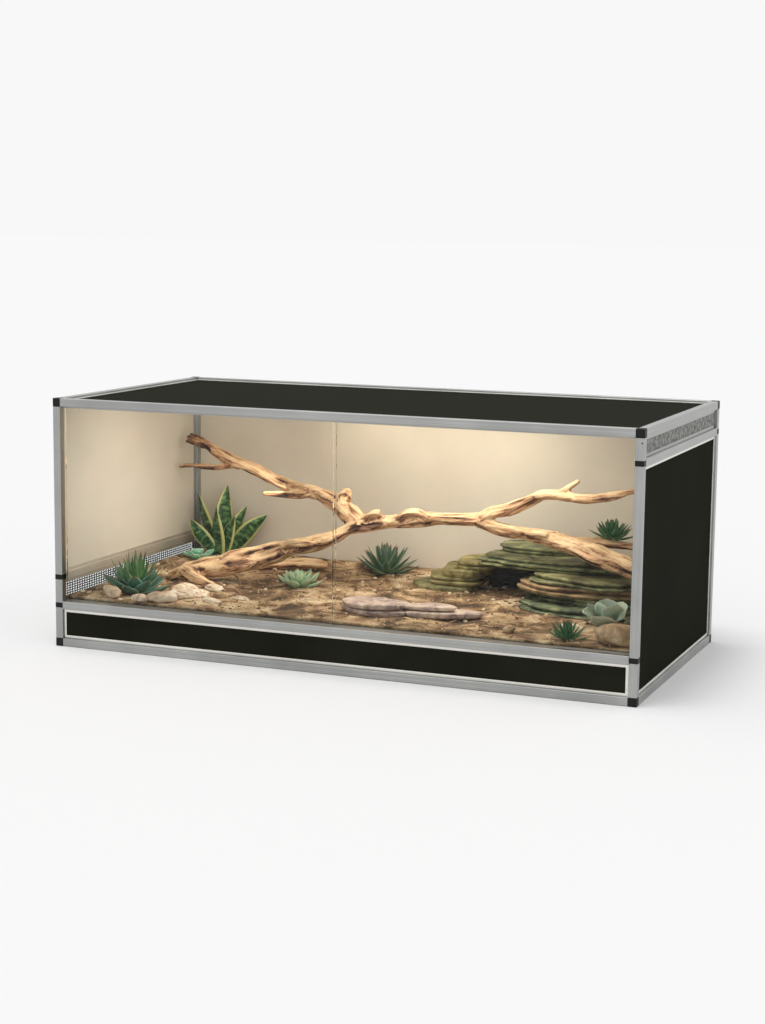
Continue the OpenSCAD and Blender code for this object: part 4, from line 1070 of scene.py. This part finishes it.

# Slabs closing the hide's back, in near-black slate: painted shade for the dark inside of the cave
CAVE_SHADE_SLABS = [(232, 184, level, 184, 46, 18, 3 - level / 9, 1, 31 + level, 0.0) for level in (0, 17, 34, 51)]
for name, finish, cad_nodes, slabs in (
        ("slate_left_stack", SLATE, ["hide_left_stack"],
         [(80, 138, 0, 154, 132, 18, -4, 1, 1, 0.7), (100, 142, 17, 132, 124, 18, 5, 2, 2, 0.9),
          (118, 138, 34, 114, 124, 18, -3, 1, 3, 1.0), (138, 140, 51, 84, 118, 19, 6, 2, 4, 0.85)]),
        ("slate_right_stack", SLATE, ["hide_right_stack"],
         [(398, 62, 0, 292, 268, 18, 2, 2, 7, 0.05), (412, 80, 17.5, 296, 236, 17, -3, 2, 8, 0.2),
          (414, 84, 53, 290, 232, 17, -2, 2, 10, 0.3)]),
        ("slate_tan_layer", TAN_SLATE, [], [(404, 78, 34, 318, 240, 20, 3, 2, 9, 0.15)]),
        ("slate_roof", SLATE, ["hide_roof"], [(329, 125, 70, 370, 198, 19, 1, 3, 13, 0.12)]),
        ("slate_caps", SLATE, ["hide_cap_slates"],
         [(262, 165, 88, 190, 110, 14, -6, 2, 17, 0.25), (435, 110, 88, 130, 100, 7, 8, 1, 19, 0.2)]),
        ("slate_cave_back", CAVE_SHADE_SLATE, [], CAVE_SHADE_SLABS)):
    settle(slate_pile(name, slabs, finish), "slate", *cad_nodes)

BASKING_FLAGS = [(42, -160, 1, 172, 96, 25, -4, 2, 47, 0), (176, -150, 3, 182, 64, 11, 23, 1, 41, 0),
                 (146, -158, 17, 118, 46, 8, 6, 1, 43, 0)]
settle(slate_pile("basking_flagstones", BASKING_FLAGS, PINK_STONE, corner=2.0),
       "river_stone", "basking_stones")
LONG_ROWS = [(-502, -242, 74, 26, 22, -42), (-434, -250, 40, 20, 16, 0), (-386, -246, 66, 26, 22, 8)]
settle(stones("long_stone_set", LONG_ROWS, PALE_STONE_PARTLY_PAINTED_LIGHT), "river_stone")
LOOSE_ROWS = [
    (544, -232, 82, 60, 40, 10), (-300, -160, 28, 21, 14, 30), (-60, -60, 26, 19, 12, -20),
    (20, -90, 30, 21, 14, 15), (330, -215, 28, 21, 14, 70), (-560, -120, 28, 23, 14, 40)]
settle(stones("loose_stone_set", LOOSE_ROWS, TAN_STONE), "river_stone", "loose_stones")

PERCH = Vector((450 * MM, 55 * MM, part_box("perch_succulent")[0].z))
spiral = whorl_tree()
# Name, slot, CAD nodes and finish; place, leaf size, leaves, tilts, inner share and seed; leaf's shape
for name, slot, cad_nodes, finish, place, size, leaves, tilts, inner, seed, shape in (
        ("front_agave_plant", "agave_leaf", ["front_agave"], AGAVE,
         planted(-484, -176), (76, 37, 13), 17, (6, 40), 0.78, 3,
         {"widest": 0.5, "curl": 0.4, "cup": 0.25, "foot": 0.4}),
        ("front_agave_heart", "agave_leaf", [], AGAVE_HEART,
         planted(-484, -176, 0), (84, 14, 8), 18, (40, 84), 0.86, 4,
         {"widest": 0.25, "curl": 0.2, "cup": 0.2}),
        ("spiky_agave_plant", "agave_leaf", ["spiky_agave"], SPIKY,
         planted(-88, 204), (78, 19, 7), 42, (10, 80), 0.76, 5,
         {"widest": 0.32, "curl": 0.25, "cup": 0.3}),
        ("teal_rosette_plant", "rosette_leaf", ["teal_rosette"], TEAL,
         planted(-522, 168), (42, 25, 5), 16, (8, 50), 0.4, 7,
         {"widest": 0.68, "curl": 0.3, "cup": 0.4}),
        ("small_rosette_plant", "rosette_leaf", ["small_rosette"], PALE,
         planted(-200, 0), (53, 22, 10), 30, (8, 66), 0.5, 9,
         {"widest": 0.55, "curl": 0.45, "cup": 0.3}),
        ("echeveria_plant", "rosette_leaf", ["echeveria"], GREY,
         planted(486, -106), (68, 60, 4), 8, (14, 64), 0.72, 12,
         {"widest": 0.72, "curl": 0.3, "cup": 0.16, "foot": 0.25, "ruffle": 0.14}),
        ("corner_succulent_plant", "succulent_leaf", ["corner_succulent"], GREEN,
         planted(446, -226), (44, 10, 4), 32, (8, 78), 0.65, 13,
         {"widest": 0.32, "curl": 0.35, "cup": 0.3}),
        ("perch_succulent_plant", "succulent_leaf", ["perch_succulent"], GREEN,
         PERCH, (50, 14, 5), 34, (8, 80), 0.6, 15,
         {"widest": 0.38, "curl": 0.3, "cup": 0.3})):
    settle(rosette(name, spiral, place, size, leaves, tilts, finish, inner, seed, **shape), slot, *cad_nodes)

SNAKE_BLADES = [
    (164, 48, 5, 20, -70), (156, 46, 26, 172, 80), (146, 40, 46, 4, -85), (116, 52, 8, 250, 0),
    (104, 36, 40, 200, 60), (108, 34, 26, 330, -60), (128, 36, 26, 20, -75)]
settle(blades("snake_plant_blades", planted(-495, 222), SNAKE_BLADES, banded_leaf()),
       "snake_leaf", "snake_plant")

CURLS = [(-362, -188, 92, 46, 34), (-348, -92, 52, 30, -24), (-402, -126, 60, 34, 58),
         (430, -140, 50, 24, -14), (-262, -150, 40, 18, 10), (-300, -205, 52, 22, -12)]
settle(bark_curls("curled_bark", CURLS, BARK), "driftwood")

strewn = strewn_tree()
settle(strew("fine_gravel", strewn, sand, (1.0, 0.8, 0.6), 2600, (2.0, 4.2), 0.6, 21, GRAVEL), "river_stone")
settle(strew("pebbles", strewn, sand, (1.0, 0.75, 0.5), 330, (5, 11), 0.8, 22, GRAVEL), "river_stone")
settle(strew("bark_chip_litter", strewn, sand, (1.0, 0.34, 0.12), 760, (7, 21), 1.0, 23, CHIPS), "driftwood")
settle(sand, "sand", "substrate_top")

# ---------- Studio ----------

CAMERA_PLACE = Vector((1.4427, -3.5879, 0.8598))
CAMERA_AZIMUTH = math.radians(-22.11)
CAMERA_DROP = math.radians(8.65)
CAMERA_ROLL = math.radians(0.64)
CAMERA_LENS = 68.08
PAPER_WHITE = "#F8F8F8"
PAPER_REACH = 60.0
SKY_LIGHT = 0.5


def camera():
    """The photograph's view: from the front right and a little above."""
    data = bpy.data.cameras.new("camera")
    data.lens = CAMERA_LENS
    data.sensor_width = 36
    made = bpy.data.objects.new("camera", data)
    aim = (Matrix.Rotation(-CAMERA_AZIMUTH, 4, "Z") @ Matrix.Rotation(math.pi / 2 - CAMERA_DROP, 4, "X")
           @ Matrix.Rotation(CAMERA_ROLL, 4, "Z"))
    made.matrix_world = Matrix.Translation(CAMERA_PLACE) @ aim
    bpy.context.scene.collection.objects.link(made)
    bpy.context.scene.camera = made


def paper_floor():
    """Matt white studio paper that runs on to the horizon."""
    material, tree, place = new_material("studio_paper")
    fibre = node(tree, NOISE, {"Vector": place, "Scale": 1 / (4 * MM), "Detail": 2.0})
    surface(material, Roughness=0.95, Specular_IOR_Level=0.0, Base_Color=hex_colour(PAPER_WHITE),
            Normal=node(tree, BUMP, {"Height": fibre, "Strength": 0.05, "Distance": 0.1 * MM}))
    corners = [(x * PAPER_REACH, y * PAPER_REACH, 0) for x, y in ((-1, -1), (1, -1), (1, 1), (-1, 1))]
    floor = new_piece("studio_floor", corners, [(0, 1, 2, 3)], material, smooth=False)


def studio_world():
    """An even white sky; the camera, mirrors and panes see plain white paper instead."""
    world = bpy.data.worlds.new("studio")
    bpy.context.scene.world = world
    world.use_nodes = True
    tree = world.node_tree
    tree.nodes.clear()
    rays = node(tree, "ShaderNodeLightPath").outputs
    straight = node(tree, MATH, {0: rays["Is Camera Ray"], 1: rays["Is Glossy Ray"]}, operation="MAXIMUM")
    seen = node(tree, MATH, {0: straight, 1: rays["Is Transmission Ray"]}, operation="MAXIMUM")
    sky = node(tree, "ShaderNodeBackground", {"Color": hex_colour("#FFFFFF"), "Strength": SKY_LIGHT})
    paper = node(tree, "ShaderNodeBackground", {"Color": hex_colour(PAPER_WHITE), "Strength": 1.0})
    both = node(tree, "ShaderNodeMixShader", {0: seen, 1: sky, 2: paper})
    node(tree, "ShaderNodeOutputWorld", {"Surface": both})


def lamp(name, kind, place, aim, power, colour, **settings):
    """A lamp at a place, pointed at another, hidden from the camera and in the panes."""
    data = bpy.data.lights.new(name, kind)
    data.energy = power
    data.color = hex_colour(colour)[:3]
    for key, value in settings.items():
        setattr(data, key, value)
    made = bpy.data.objects.new(name, data)
    way = (Vector(aim) - Vector(place)).to_track_quat("-Z", "Y").to_matrix().to_4x4()
    made.matrix_world = Matrix.Translation(Vector(place)) @ way
    made.visible_camera = False
    made.visible_transmission = False
    bpy.context.scene.collection.objects.link(made)


camera()
paper_floor()
studio_world()
# The key comes from high on the left and front, and leaves a short soft shadow on the floor to the right
lamp("key", "SUN", (-0.35, -0.5, 4.0), (0, 0, 0), 1.62, "#FFFFFF", angle=math.radians(30))
lamp("warm_ceiling_lamp", "AREA", (0.12, -0.06, CEILING - 0.012), (0.12, -0.06, 0), 2.1, "#FFF7EC",
     shape="RECTANGLE", size=0.5, size_y=0.2)
lamp("rear_wall_wash", "AREA", (0.02, 0.12, CEILING - 0.02), (0.02, 0.4, 0.36), 0.45, "#FFEFD8",
     shape="RECTANGLE", size=0.55, size_y=0.05)
lamp("left_wall_wash", "AREA", (-0.3, -0.05, CEILING - 0.15), (-0.6, -0.04, 0.22), 0.62, "#FFF6EC",
     shape="RECTANGLE", size=0.3, size_y=0.24)

bpy.context.scene.view_settings.view_transform = "Standard"
